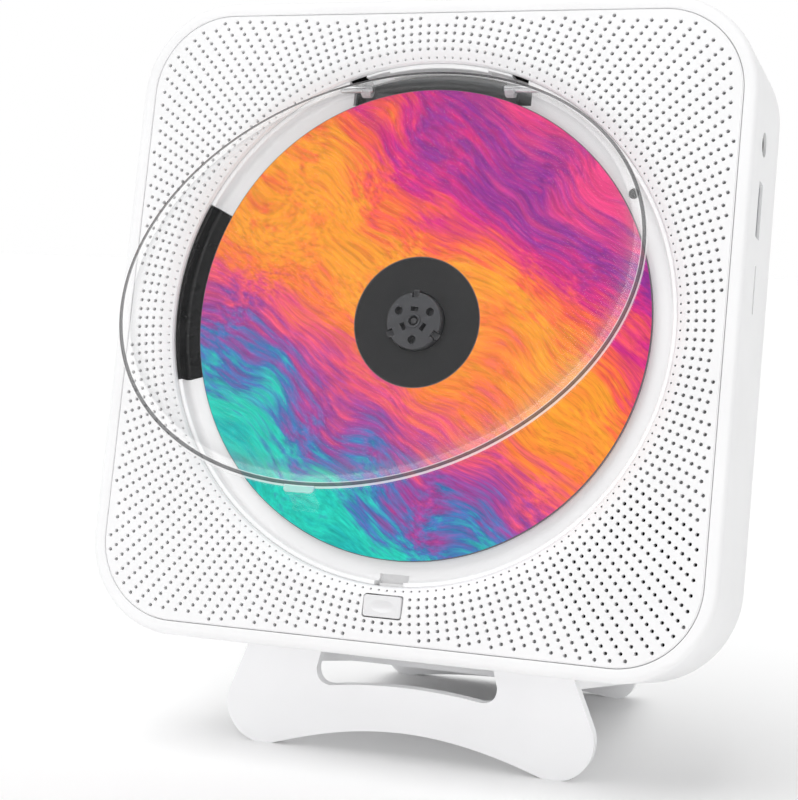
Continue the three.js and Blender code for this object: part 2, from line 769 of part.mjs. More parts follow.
function pickupSled() {
  const [low, high] = [sledCentre - sledHalfLength, sledCentre + sledHalfLength]
  const [earLow, earHigh] = [sledCentre - earHalfLength, sledCentre + earHalfLength]
  const lensZ = sledCentre - lensDrop
  const [towerLow, towerHigh] = [lensZ - towerHalfWidth, lensZ + towerHalfWidth]
  const nutEnd = screwX - leadScrewRadius - fitGap
  const [nutLow, nutHigh] = [sledCentre - nutHalfLength, sledCentre + nutHalfLength]
  const body = joined(
    block(-sledHalfWidth, sledHalfWidth, sledFront, sledBack, low, high),
    block(-earOuter, earOuter, sledFront, sledBack, earLow, earHigh),
    block(sledHalfWidth, nutEnd, rodDepth - nutHalfThickness, rodDepth + nutHalfThickness, nutLow, nutHigh),
    block(-towerHalfWidth, towerHalfWidth, towerFront, sledFront + overrun, towerLow, towerHigh),
  )
  const bore = rodRadius + fitGap
  return cut(
    body,
    barZ(bore, low - overrun, high + overrun, rodX, rodDepth, tinySteps),
    barZ(bore, low - overrun, high + overrun, -rodX, rodDepth, tinySteps),
    cylinder(lensRadius + fitGap, towerFront - overrun, lensBack + fitGap, smallSteps, 0, lensZ),
  )
}

place(well, 'pickup_sled', pickupSled(), blackPlastic)
const lensPlace = [0, sledCentre - lensDrop]
place(well, 'pickup_lens', cylinder(lensRadius, lensFront, lensBack, smallSteps, ...lensPlace), lensGlass)

const sledMotorBottom = motorPlateTop + fitGap
const screwTop = sledMotorBottom - fitGap
place(well, 'lead_screw', barZ(leadScrewRadius, rodBottom, screwTop, screwX, rodDepth, tinySteps), steel)
const sledCan = barZ(sledMotorRadius, sledMotorBottom, sledMotorBottom + sledMotorLength, screwX, rodDepth)
place(well, 'sled_motor', sledCan, brightNickel)

// Clear lid: a shallow dome with a turned rim, two hinge ears and a latch tab, drawn closed
const lidMargin = 1.3
const lidRadius = wellRadius - lidMargin
const lidFace = 0.2
const lidThickness = 1.4
const lidRimFront = 1.7
const lidRimBack = 3.3
const lidRimWidth = 2.7
const lidRimInner = lidRadius - lidRimWidth
const lidShoulderWidth = 5.7
const lidFlatRadius = lidRimInner - lidShoulderWidth
const lidRimRound = 0.4
const lidShoulderShares = [
  [0.35, 0.1],
  [0.65, 0.47],
  [0.86, 0.87],
]
const lidOpenAngle = 29.3 * degree
const tabHalfWidth = 3.5
const tabRoot = 1.9
const tabReach = 1.5
const tabInner = lidRadius - tabRoot
const tabOuter = lidRadius + tabReach
const hookHalfWidth = 2.8
const hookThickness = 1.2
const hookInset = 0.2
const hookBottom = hookInset - tabOuter
const hookTop = hookBottom + hookThickness
const hookBack = 8.4
const barbReach = 0.9
const barbHeight = 1

function dustCover() {
  const lidBack = lidFace + lidThickness
  const step = (radiusShare, depthShare, fromDepth, toDepth) => [
    lidFlatRadius + (lidRimInner - lidFlatRadius) * radiusShare,
    fromDepth + (toDepth - fromDepth) * depthShare,
  ]
  const outerShoulder = lidShoulderShares.map(([r, d]) => step(r, d, lidFace, lidRimFront))
  const innerShoulder = lidShoulderShares.map(([r, d]) => step(r, d, lidBack, lidRimBack)).reverse()
  const profile = [
    [0, lidFace],
    [lidFlatRadius, lidFace],
    ...outerShoulder,
    [lidRimInner, lidRimFront],
    [lidRadius - lidRimRound, lidRimFront],
    [lidRadius, lidRimFront + lidRimRound],
    [lidRadius, lidRimBack - lidRimRound],
    [lidRadius - lidRimRound, lidRimBack],
    [lidRimInner, lidRimBack],
    ...innerShoulder,
    [lidFlatRadius, lidBack],
    [0, lidBack],
  ]
  const barbEnd = hookBottom - barbReach
  const lid = joined(
    turned(profile, wideSteps),
    block(-tabHalfWidth, tabHalfWidth, lidRimFront, lidRimBack, -tabOuter, -tabInner),
    block(-hookHalfWidth, hookHalfWidth, lidRimBack - lidRimRound, hookBack, hookBottom, hookTop),
    block(-hookHalfWidth, hookHalfWidth, hookBack - barbHeight, hookBack, barbEnd, hookTop),
    barX(lidEarRadius, lidEarX - lidEarHalfWidth, lidEarX + lidEarHalfWidth, hingeDepth, hingeRise),
    barX(lidEarRadius, -lidEarX - lidEarHalfWidth, -lidEarX + lidEarHalfWidth, hingeDepth, hingeRise),
  )
  const bore = hingePinRadius + fitGap
  const farSide = lidEarX + lidEarHalfWidth + overrun
  const nearSide = lidEarX - lidEarHalfWidth - overrun
  return cut(
    lid,
    barX(bore, nearSide, farSide, hingeDepth, hingeRise, tinySteps),
    barX(bore, -farSide, -nearSide, hingeDepth, hingeRise, tinySteps),
  )
}

// The lid turns about the hinge axis, so its mesh hangs in a group placed on that axis
const lidHinge = new THREE.Group()
lidHinge.position.set(0, hingeDepth, hingeRise)
lidHinge.rotation.x = -lidOpenAngle
well.add(lidHinge)
place(lidHinge, 'dust_cover', dustCover(), clearPlastic).position.set(0, -hingeDepth, -hingeRise)

const pinSpans = { left: [-hingePinOuter, -hingePinInner], right: [hingePinInner, hingePinOuter] }
for (const [side, span] of Object.entries(pinSpans)) {
  place(well, `hinge_pin_${side}`, barX(hingePinRadius, ...span, hingeDepth, hingeRise, tinySteps), steel)
}

// Dark trough behind the hinge recess, and the bowed spring that lifts the lid by its ears
const troughMargin = 2
const troughHalfLength = recessHalfLength + troughMargin
const troughBottomMargin = 1.9
const troughBottom = recessBottom - troughBottomMargin
const troughRise = 1.8
const troughTop = wellRadius + troughRise
const troughFloor = 9.9
const troughBack = 11.2
const springHalfLength = lidEarX + lidEarHalfWidth
const springThickness = 0.4
const springBow = 2.5
const springWidth = 3
const springInset = 0.5
const springSteps = 12

function hingeTrough() {
  const front = trayBack + fitGap
  const inner = recessHalfLength - fitGap
  const slab = block(-troughHalfLength, troughHalfLength, front, troughBack, troughBottom, troughTop)
  const pocket = block(-inner, inner, front - overrun, troughFloor, recessBottom, wellRadius)
  return cut(slab, pocket)
}

place(well, 'hinge_trough', hingeTrough(), blackPlastic)

function lidSpring() {
  const back = troughFloor - fitGap
  const shape = new THREE.Shape()
  const bow = (x) => back - springBow * (x / springHalfLength) ** 2
  const stepLength = (2 * springHalfLength) / springSteps
  const steps = Array.from({ length: springSteps + 1 }, (_, i) => i * stepLength - springHalfLength)
  shape.moveTo(steps[0], bow(steps[0]))
  steps.slice(1).forEach((x) => shape.lineTo(x, bow(x)))
  steps.reverse().forEach((x) => shape.lineTo(x, bow(x) - springThickness))
  const options = { depth: springWidth, bevelEnabled: false }
  const geometry = new THREE.ExtrudeGeometry(shape, options)
  return solid(geometry.translate(0, 0, recessBottom + springInset))
}

place(well, 'lid_spring', lidSpring(), steel)

// Open button with its wedge stem, latch slider, guide and return spring
const stemHalfWidth = 1.5
const stemDrop = 2.4
const stemThickness = 0.8
const stemTop = buttonTop - stemDrop
const stemTip = stemTop - stemThickness
const stemRoot = stemTip - latchTravel
const stemBack = 9.3
const sliderFront = 5.4
const sliderBack = 7.1
const stemRampStart = sliderFront - buttonTravel
const sliderHalfWidth = 5
const sliderInset = 0.2
const sliderHeight = 6.9
const sliderTop = buttonTop - sliderInset
const sliderBottom = sliderTop - sliderHeight
const sliderTongueHalfWidth = 3.2
const latchOverlap = 0.5
const sliderTongueTip = hookBottom - barbReach + latchOverlap
const sliderWindowDrop = 0.9
const sliderWindowTop = sliderTop - sliderWindowDrop
const guideWall = 1.6
const guideInset = 4
const guideHeight = 5.4
const guideTop = sliderTop - guideInset
const guideBottom = guideTop - guideHeight
const guidePlateBottom = sliderBottom - latchTravel
const guideBack = 8.9
const latchSpringRadius = 1.8
const latchSpringBore = 1.2

function openButton() {
  const [left, right] = [-buttonHalfWidth + fitGap, buttonHalfWidth - fitGap]
  const cap = block(left, right, -buttonProud, buttonCapBack, buttonBottom + fitGap, buttonTop - fitGap)
  const rampEnd = stemRampStart + (stemTip - stemRoot)
  const shape = new THREE.Shape()
  shape.moveTo(buttonCapBack - buttonProud, stemTop)
  shape.lineTo(stemBack, stemTop)
  shape.lineTo(stemBack, stemTip)
  shape.lineTo(rampEnd, stemTip)
  shape.lineTo(stemRampStart, stemRoot)
  shape.lineTo(buttonCapBack - buttonProud, stemRoot)
  return joined(cap, crossPrism(shape, stemHalfWidth))
}

place(well, 'open_button', openButton(), trayPlastic)

function latchSlider() {
  const main = block(-sliderHalfWidth, sliderHalfWidth, sliderFront, sliderBack, sliderBottom, sliderTop)
  const tongueSides = [-sliderTongueHalfWidth, sliderTongueHalfWidth, sliderFront, sliderBack]
  const tongue = block(...tongueSides, sliderTop - overrun, sliderTongueTip)
  const side = stemHalfWidth + fitGap
  const opening = [-side, side, sliderFront - overrun, sliderBack + overrun]
  return cut(joined(main, tongue), block(...opening, stemTip - fitGap, sliderWindowTop))
}

place(well, 'latch_slider', latchSlider(), trayPlastic)

function latchGuide() {
  const inner = sliderHalfWidth + fitGap
  const outer = inner + guideWall
  const base = sliderBack + fitGap
  const wallFront = panelThickness + fitGap
  const plate = block(-outer, outer, base, guideBack, guidePlateBottom, sliderTop)
  const leftWall = block(-outer, -inner, wallFront, base + fitGap, guideBottom, guideTop)
  const rightWall = block(inner, outer, wallFront, base + fitGap, guideBottom, guideTop)
  const side = stemHalfWidth + fitGap
  const opening = [-side, side, base - overrun, guideBack + overrun]
  return cut(joined(plate, leftWall, rightWall), block(...opening, stemTip - fitGap, stemTop + fitGap))
}

place(well, 'latch_guide', latchGuide(), trayPlastic)

function latchSpring() {
  const seat = -(halfHeight - bodyWall) - discAxisRise + fitGap
  const top = guidePlateBottom - fitGap
  const at = [0, (sliderFront + sliderBack) / 2, tinySteps]
  const core = barZ(latchSpringBore, seat - overrun, top + overrun, ...at)
  return cut(barZ(latchSpringRadius, seat, top, ...at), core)
}

place(well, 'latch_spring', latchSpring(), steel)

// Two speakers in the lower corners, each a basket, a cone and a magnet
const basketFront = lipBack + fitGap
const basketFlangeWidth = 2
const basketFlangeInner = speakerRadius - basketFlangeWidth
const basketShoulder = speakerRadius - speakerSeatWidth
const basketBack = 13
const basketTaper = 5.2
const basketBackRadius = basketShoulder - basketTaper
const basketFloor = 11.8
const basketWall = 0.9
const basketFloorRadius = basketBackRadius - basketWall
const basketHole = 4.8
const coneCentre = 7.2
const coneThickness = 0.9
const coneCapRadius = 3.4
const coneNeckRadius = 4.3
const coneNeck = 8.8
const coneEdgeRadius = basketFlangeInner - basketWall
const coneEdge = 4.6
const coilBack = 11.5
const magnetInset = 1.3
const magnetRadius = basketBackRadius - magnetInset
const magnetLength = 6.2

for (const [side, direction] of Object.entries({ left: -1, right: 1 })) {
  const at = [ringSteps, direction * speakerX, speakerZ]
  const basketProfile = [
    [basketFlangeInner, basketFront],
    [speakerRadius, basketFront],
    [speakerRadius, basketFront + speakerFlange],
    [basketShoulder, basketFront + speakerFlange],
    [basketBackRadius, basketBack],
    [basketHole, basketBack],
    [basketHole, basketFloor],
    [basketFloorRadius, basketFloor],
    [basketFlangeInner, basketFront + coneThickness],
  ]
  const coneProfile = [
    [0, coneCentre],
    [coneCapRadius, coneCentre + coneThickness / 2],
    [coneNeckRadius, coneNeck],
    [coneEdgeRadius, coneEdge],
    [coneEdgeRadius, coneEdge + coneThickness],
    [coneNeckRadius, coneNeck + coneThickness],
    [coneNeckRadius, coilBack],
    [coneCapRadius, coilBack],
    [coneCapRadius, coneNeck],
    [0, coneCentre + coneThickness],
  ]
  place(player, `speaker_basket_${side}`, turned(basketProfile, ...at), blackPlastic)
  place(player, `speaker_cone_${side}`, turned(coneProfile, ...at), paperCone)
  const magnetFront = basketBack + fitGap
  const magnet = cylinder(magnetRadius, magnetFront, magnetFront + magnetLength, ...at)
  place(player, `speaker_magnet_${side}`, magnet, zincPlate)
}

// Boards and sockets
const boardFront = 17
const boardThickness = 1.6
const boardSideInset = 4.4
const boardTopInset = 23.1
const boardHeight = 66
const boardLeft = 42
const boardRight = halfWidth - boardSideInset
const boardTop = halfHeight - boardTopInset
const boardBottom = boardTop - boardHeight
const boardPostInset = 5
const boardPosts = [
  [boardLeft + boardPostInset, boardBottom + boardPostInset],
  [boardLeft + boardPostInset, boardTop - boardPostInset],
  [boardRight - boardPostInset, boardBottom + boardPostInset],
]
const socketBack = boardFront - fitGap
const socketLength = 12.7
const socketShoulder = halfWidth - bodyWall - fitGap
const socketInner = socketShoulder - socketLength
const noseInset = 0.6
const noseEnd = halfWidth - noseInset
const jackHalfWidth = 3.2
const jackNoseRadius = 2.6
const jackBore = 1.75
const socketGap = 0.4
const usbWall = 0.5
const usbTongueFront = 0.2
const usbTongueThickness = 1.1
const cardWall = 0.9
const powerBoardInset = 3.8
const powerBoardWidth = 14
const powerBoardLeft = powerBoardInset - halfWidth
const powerBoardRight = powerBoardLeft + powerBoardWidth
const powerBoardHalfHeight = 8
const powerBoardFront = portDepth + powerHalfWidth
const powerSocketLength = 10.2
const powerInner = powerSocketLength - noseEnd
const powerPostInset = 4
const powerPostX = powerBoardRight - powerPostInset

const boardBack = boardFront + boardThickness
const mainBoard = block(boardLeft, boardRight, boardFront, boardBack, boardBottom, boardTop)
place(player, 'main_board', mainBoard, boardGreen)

const irFront = trayBack + fitGap
const irRise = irZ + discAxisRise
const irSides = [irX - irHousing, irX + irHousing, irFront, socketBack]
place(player, 'ir_receiver', block(...irSides, irRise - irHousing, irRise + irHousing), blackPlastic)

function audioJack() {
  const body = block(
    socketInner,
    socketShoulder,
    portDepth - jackHalfWidth,
    socketBack,
    jackHeight - jackHalfWidth,
    jackHeight + jackHalfWidth,
  )
  const nose = barX(jackNoseRadius, socketShoulder - overrun, noseEnd, portDepth, jackHeight)
  const bore = barX(jackBore, socketInner + jackBore, noseEnd + overrun, portDepth, jackHeight, tinySteps)
  return cut(joined(body, nose), bore)
}

place(player, 'audio_jack', audioJack(), blackPlastic)

function usbSocket() {
  const halfThickness = usbHalfWidth - socketGap
  const halfLength = usbHalfLength - socketGap
  const [low, high] = [usbHeight - halfLength, usbHeight + halfLength]
  const body = block(socketInner, socketShoulder, portDepth - halfThickness, socketBack, low, high)
  const noseSides = [socketShoulder - overrun, noseEnd, portDepth - halfThickness, portDepth + halfThickness]
  const nose = block(...noseSides, low, high)
  const innerThickness = halfThickness - usbWall
  const [innerLow, innerHigh] = [low + usbWall, high - usbWall]
  const [hollowFront, hollowBack] = [portDepth - innerThickness, portDepth + innerThickness]
  const hollow = [socketInner + usbWall, noseEnd + overrun, hollowFront, hollowBack]
  const tongueFront = portDepth + usbTongueFront
  const tongueSides = [socketInner, socketShoulder, tongueFront, tongueFront + usbTongueThickness]
  const shell = cut(joined(body, nose), block(...hollow, innerLow, innerHigh))
  return joined(shell, block(...tongueSides, innerLow + usbWall, innerHigh - usbWall))
}

place(player, 'usb_socket', usbSocket(), zincPlate)

function cardSocket() {
  const [low, high] = [cardHeight - cardHalfLength, cardHeight + cardHalfLength]
  const sides = [socketInner, socketShoulder, cardDepth - cardWall, socketBack]
  const body = block(...sides, low - cardWall, high + cardWall)
  const slotHalf = cardHalfWidth - fitGap
  const slot = [socketInner + cardWall, noseEnd, cardDepth - slotHalf, cardDepth + slotHalf]
  return cut(body, block(...slot, low + fitGap, high - fitGap))
}

place(player, 'card_socket', cardSocket(), zincPlate)

function powerSocket() {
  const halfThickness = powerHalfWidth - fitGap
  const halfLength = powerHalfLength - fitGap
  const [low, high] = [powerHeight - halfLength, powerHeight + halfLength]
  const [front, back] = [portDepth - halfThickness, portDepth + halfThickness]
  const shell = block(-noseEnd, powerInner, front, back, low, high)
  const hollow = [-noseEnd - overrun, powerInner - usbWall, front + usbWall, back - usbWall]
  return cut(shell, block(...hollow, low + usbWall, high - usbWall))
}

place(player, 'power_socket', powerSocket(), zincPlate)

const powerBoardSides = [powerBoardLeft, powerBoardRight, powerBoardFront, powerBoardFront + boardThickness]
const powerBoardSpan = [powerHeight - powerBoardHalfHeight, powerHeight + powerBoardHalfHeight]
place(player, 'power_board', block(...powerBoardSides, ...powerBoardSpan), boardGreen)

// Rear cover, with board posts and the keyhole that hangs on a wall screw or the stand's stud
const rearCoverFront = rearSeat + fitGap
const rearCoverThickness = 2.2
const rearCoverBack = rearCoverFront + rearCoverThickness
const postRadius = 3
const keyholeRise = 31.5
const keyholeDrop = 10
const keyholeSlotRadius = 2.1
const keyholeEntryRadius = 4
const studNeckRadius = 1.7
const studHeadRadius = 3.4
const studHeadThickness = 1.6
const rearHeadRadius = 3
const rearHeadThickness = 1.3
const rearShankRadius = 1.2
const rearShankLength = 9

function keyhole() {
  const slot = roundedRectangle(
    -keyholeSlotRadius,
    keyholeSlotRadius,
    keyholeRise - keyholeDrop,
    keyholeRise + keyholeSlotRadius,
    keyholeSlotRadius * roundEndShare,
  )
  const through = [rearCoverFront - overrun, rearCoverBack + overrun]
  const entry = cylinder(keyholeEntryRadius, ...through, smallSteps, 0, keyholeRise - keyholeDrop)
  return joined(prism(slot, ...through), entry)
}

function rearCover() {
  let cover = prism(insetOutline(rearSeatWall + fitGap), rearCoverFront, rearCoverBack)
  const postEnd = rearSeat + overrun
  const posts = boardPosts.map(([x, z]) => cylinder(postRadius, boardBack + fitGap, postEnd, tinySteps, x, z))
  const powerPostFront = powerBoardFront + boardThickness + fitGap
  const powerPost = cylinder(postRadius, powerPostFront, postEnd, tinySteps, powerPostX, powerHeight)
  cover = joined(cover, ...posts, powerPost)
  for (const [x, z] of bossPlaces) {
    const outside = rearCoverBack + overrun
    const bore = cylinder(bossScrewRadius, rearSeat - overrun, outside, tinySteps, x, z)
    const headFront = rearCoverBack - rearHeadThickness - fitGap
    const counterbore = cylinder(rearHeadRadius + fitGap, headFront, outside, smallSteps, x, z)
    cover = cut(cover, bore, counterbore)
  }
  return cut(cover, keyhole())
}

place(player, 'rear_cover', rearCover(), whitePlastic)

bossPlaces.forEach(([x, z], i) => {
  const tip = rearCoverBack - rearShankLength
  const head = [rearCoverBack - rearHeadThickness, rearCoverBack]
  const piece = screw(rearShankRadius, rearHeadRadius, tip, ...head, x, z)
  place(player, `rear_screw_${i + 1}`, piece, zincPlate)
})

// Table stand: a lobed front plate, a lobed rear plate, a web under the player between
// them, and a tongue up its back with the stud for the keyhole. Heights from the floor here.
const standFront = 4.9
const standThickness = 3
const standFrontHeight = 26.2
const standTopHalfWidth = 44
const standRear = 96.9
const footSink = 0.3
const footTuck = 18 * degree
const frontLobeX = 39.4
const frontLobeRadius = 10.4
const frontArchRise = 6.9
const rearLobeX = 32.7
const rearLobeRadius = 6.2
const rearArchRise = 2.3
const archReach = 10
const cutoutTopHalfWidth = 23
const cutoutHalfWidth = 24.5
const cutoutSide = 21.5
const cutoutCornerX = 20.3
const cutoutBottom = 17.2
const cutoutCrown = 1.5
const webOpeningBack = 31
const tongueHalfWidth = 20
const tongueTop = 42
const tongueCorner = 8
const tongueFront = bodyDepth + fitGap
const gussetX = 16
const gussetHalfThickness = 1.2
const gussetReach = 36
const gussetRise = 62

const standDrop = halfHeight + fitGap
const slope = Math.tan(leanAngle)
const faceHeight = standFrontHeight + standFront * slope + standDrop / Math.cos(leanAngle)
const webTopAt = (y) => standFrontHeight - (y - standFront) * slope

const leaning = new THREE.Matrix4().makeRotationX(-leanAngle).setPosition(0, 0, faceHeight)
const leaned = (manifold) => solid(meshGeometry(manifold).applyMatrix4(leaning))

// The outline of a plate on two round lobes, with an arch between them and a straight top
function lobedOutline(lobeX, lobeRadius, archRise, topHalfWidth, top) {
  const middle = lobeRadius - footSink
  const [across, up] = [topHalfWidth - lobeX, top - middle]
  const sideAngle = Math.atan2(up, across) - Math.acos(lobeRadius / Math.hypot(across, up))
  const archEnd = quarterTurn + footTuck
  const startX = lobeX - lobeRadius * Math.sin(footTuck)
  const startZ = middle - lobeRadius * Math.cos(footTuck)
  const controlZ = (4 * archRise - startZ) / 3
  const shape = new THREE.Shape()
  shape.moveTo(startX, startZ)
  shape.absarc(lobeX, middle, lobeRadius, -archEnd, sideAngle)
  shape.lineTo(topHalfWidth, top)
  shape.lineTo(-topHalfWidth, top)
  shape.absarc(-lobeX, middle, lobeRadius, Math.PI - sideAngle, Math.PI + archEnd)
  shape.bezierCurveTo(-archReach, controlZ, archReach, controlZ, startX, startZ)
  return shape
}

function frontCutout() {
  const top = standFrontHeight + overrun
  const shape = new THREE.Shape()
  shape.moveTo(-cutoutTopHalfWidth, top)
  shape.lineTo(-cutoutHalfWidth, cutoutSide)
  shape.quadraticCurveTo(-cutoutHalfWidth, cutoutBottom, -cutoutCornerX, cutoutBottom)
  shape.quadraticCurveTo(0, cutoutBottom + 2 * cutoutCrown, cutoutCornerX, cutoutBottom)
  shape.quadraticCurveTo(cutoutHalfWidth, cutoutBottom, cutoutHalfWidth, cutoutSide)
  shape.lineTo(cutoutTopHalfWidth, top)
  return prism(shape, standFront - overrun, standFront + standThickness + overrun)
}

function standWeb() {
  const rearEnd = standRear + standThickness
  const drop = standThickness / Math.cos(leanAngle)
  const side = new THREE.Shape()
  side.moveTo(standFront, webTopAt(standFront))
  side.lineTo(standFront, webTopAt(standFront) - drop)
  side.lineTo(rearEnd, webTopAt(rearEnd) - drop)
  side.lineTo(rearEnd, webTopAt(rearEnd))
  const rearHalfWidth = rearLobeX + rearLobeRadius
  const plan = new THREE.Shape()
  plan.moveTo(-standTopHalfWidth, standFront)
  plan.lineTo(standTopHalfWidth, standFront)
  plan.lineTo(rearHalfWidth, rearEnd)
  plan.lineTo(-rearHalfWidth, rearEnd)
  const options = { depth: standFrontHeight + overrun, bevelEnabled: false }
  const seenFromAbove = solid(new THREE.ExtrudeGeometry(plan, options))
  return crossPrism(side, standTopHalfWidth).intersect(seenFromAbove)
}

function tableStand() {
  const frontBack = standFront + standThickness
  const rearBack = standRear + standThickness
  const frontTop = [standTopHalfWidth, standFrontHeight]
  const rearTop = [rearLobeX + rearLobeRadius, webTopAt(standRear)]
  const frontOutline = lobedOutline(frontLobeX, frontLobeRadius, frontArchRise, ...frontTop)
  const rearOutline = lobedOutline(rearLobeX, rearLobeRadius, rearArchRise, ...rearTop)
  const tongueBottom = -standDrop - standThickness / 2
  const tongueSides = [-tongueHalfWidth, tongueHalfWidth]
  const tongueOutline = roundedRectangle(...tongueSides, tongueBottom, tongueTop, tongueCorner)
  const tongueBack = tongueFront + standThickness
  const lowerTongue = [...tongueSides, tongueFront, tongueBack, tongueBottom, tongueCorner - standDrop]
  const gusset = new THREE.Shape()
  gusset.moveTo(tongueBack - overrun, tongueBottom)
  gusset.lineTo(tongueBack + gussetReach, tongueBottom)
  gusset.lineTo(tongueBack, -standDrop + gussetRise)
  gusset.lineTo(tongueBack - overrun, -standDrop + gussetRise)
  const studSpan = [tongueFront - overrun, tongueBack + overrun]
  const studHole = cylinder(studNeckRadius + fitGap, ...studSpan, tinySteps, 0, keyholeRise)
  const upright = cut(
    joined(
      prism(tongueOutline, tongueFront, tongueBack),
      block(...lowerTongue),
      crossPrism(gusset, gussetHalfThickness, gussetX),
      crossPrism(gusset, gussetHalfThickness, -gussetX),
    ),
    studHole,
  )
  const reach = standRear + standThickness
  const above = leaned(block(-reach, reach, -bodyDepth, tongueFront, -standDrop, reach))
  const below = block(-reach, reach, -reach, 2 * reach, -reach, 0)
  const opening = [-cutoutHalfWidth, cutoutHalfWidth, frontBack - overrun, webOpeningBack]
  return cut(
    joined(
      prism(frontOutline, standFront, frontBack),
      prism(rearOutline, standRear, rearBack),
      cut(standWeb(), block(...opening, 0, standFrontHeight)),
      leaned(upright),
    ),
    frontCutout(),
    above,
    below,
  )
}

place(standing, 'table_stand', tableStand(), standPlastic)

function standStud() {
  const neckFront = rearCoverFront - fitGap
  const profile = [
    [0, neckFront - studHeadThickness],
    [studHeadRadius, neckFront - studHeadThickness],
    [studHeadRadius, neckFront],
    [studNeckRadius, neckFront],
    [studNeckRadius, tongueFront + standThickness],
    [0, tongueFront + standThickness],
  ]
  return turned(profile, smallSteps, 0, keyholeRise)
}

const cradle = new THREE.Group()
cradle.applyMatrix4(leaning)
standing.add(cradle)
place(cradle, 'stand_stud', standStud(), zincPlate)
player.applyMatrix4(leaning)

// The row's origin is the middle of its box at the floor
row.updateMatrixWorld(true)
const extent = new THREE.Box3().setFromObject(row, true)
const middle = extent.getCenter(new THREE.Vector3())
standing.position.set(-middle.x, -middle.y, -extent.min.z)

export default row
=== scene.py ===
"""Disc player on its table stand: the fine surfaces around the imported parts.

Shapes are made in millimetres, most of them in the well's frame: x to the right, y into the body,
z up along the face, with the origin where the disc's axis meets the face. Matrices worked out from
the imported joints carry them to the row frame, in metres. A box is given as its left, right, front,
back, bottom and top, and a rounded outline as its left, right, bottom, top and corner.
"""

import json
from math import acos, atan2, cos, degrees, hypot, pi, radians, sin, tan, tau

import bmesh
import bpy
from mathutils import Matrix, Vector
from mathutils.geometry import delaunay_2d_cdt


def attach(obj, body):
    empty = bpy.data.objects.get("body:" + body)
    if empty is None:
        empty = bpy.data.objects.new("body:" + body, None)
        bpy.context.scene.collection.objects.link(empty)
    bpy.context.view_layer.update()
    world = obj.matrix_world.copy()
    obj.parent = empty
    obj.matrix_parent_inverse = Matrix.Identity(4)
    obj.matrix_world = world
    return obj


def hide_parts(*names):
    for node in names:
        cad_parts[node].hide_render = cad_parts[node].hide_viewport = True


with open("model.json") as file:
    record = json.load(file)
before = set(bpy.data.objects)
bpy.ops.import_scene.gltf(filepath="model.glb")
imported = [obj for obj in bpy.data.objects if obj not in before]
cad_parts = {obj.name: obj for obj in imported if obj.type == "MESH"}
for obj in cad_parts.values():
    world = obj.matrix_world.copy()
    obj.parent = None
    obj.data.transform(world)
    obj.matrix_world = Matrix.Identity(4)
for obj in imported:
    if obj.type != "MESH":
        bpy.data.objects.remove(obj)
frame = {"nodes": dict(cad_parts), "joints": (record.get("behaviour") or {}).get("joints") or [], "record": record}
scene = bpy.context.scene
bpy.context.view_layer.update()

# Frames
MM = 0.001
DISC_FRONT = 4.6
FACE_DROP = 0.8
joints = {joint["name"]: joint for joint in frame["joints"]}
across = Vector((1, 0, 0))
inward = Vector(joints["disc_spin"]["axis"]).normalized()
upward = Vector(joints["player_lift"]["axis"]).normalized()
well_origin = Vector(joints["disc_spin"]["pos_m"]) - inward * DISC_FRONT * MM


def frame_matrix(origin, x_axis, y_axis, z_axis, scale=MM):
    columns = [axis * scale for axis in (x_axis, y_axis, z_axis)]
    matrix = Matrix(columns).transposed().to_4x4()
    matrix.translation = origin
    return matrix


WELL = frame_matrix(well_origin, across, inward, upward)
FACE = WELL @ Matrix.Translation((0, 0, -FACE_DROP))
STAND = frame_matrix(Vector((0, FACE.translation.y, 0)), across, Vector((0, 1, 0)), Vector((0, 0, 1)))
hinge = WELL.inverted() @ Vector(joints["lid_hinge"]["pos_m"])
LID_OPEN = radians(-joints["lid_hinge"]["range_deg"][0])
LID = WELL @ Matrix.Translation(hinge) @ Matrix.Rotation(-LID_OPEN, 4, "X") @ Matrix.Translation(-hinge)

# Shared steps
ROUND_STEPS = 192
RING_STEPS = 96
SMALL_STEPS = 48
CORNER_STEPS = 24
LITTLE_CORNER_STEPS = 8
EDGE_STEPS = 5
LITTLE_EDGE_STEPS = 3
BEVEL_ANGLE = 40
WELD = 0.0005
OVERRUN = 1
SIDES = (("left", -1), ("right", 1))


# Mesh helpers
def mesh_object(name, corners, faces):
    mesh = bpy.data.meshes.new(name)
    mesh.from_pydata([tuple(corner) for corner in corners], [], faces)
    work = bmesh.new()
    work.from_mesh(mesh)
    bmesh.ops.remove_doubles(work, verts=work.verts, dist=WELD)
    bmesh.ops.recalc_face_normals(work, faces=work.faces)
    work.to_mesh(mesh)
    work.free()
    made = bpy.data.objects.new(name, mesh)
    scene.collection.objects.link(made)
    return made


def bake(piece):
    """Turns the piece's modifiers into its mesh."""
    graph = bpy.context.evaluated_depsgraph_get()
    finished = bpy.data.meshes.new_from_object(piece.evaluated_get(graph))
    piece.modifiers.clear()
    piece.data = finished
    return piece


def combined(piece, others, operation):
    for other in others:
        step = piece.modifiers.new(operation, "BOOLEAN")
        step.operation = operation
        step.object = other
        step.solver = "EXACT"
    bake(piece)
    for other in others:
        bpy.data.objects.remove(other)
    return piece


def carved(piece, *cutters):
    return combined(piece, cutters, "DIFFERENCE")


def united(piece, *others):
    return combined(piece, others, "UNION")


def bevelled(piece, width, steps=3):
    step = piece.modifiers.new("bevel", "BEVEL")
    step.width = width
    step.segments = steps
    step.limit_method = "ANGLE"
    step.angle_limit = radians(BEVEL_ANGLE)
    return bake(piece)


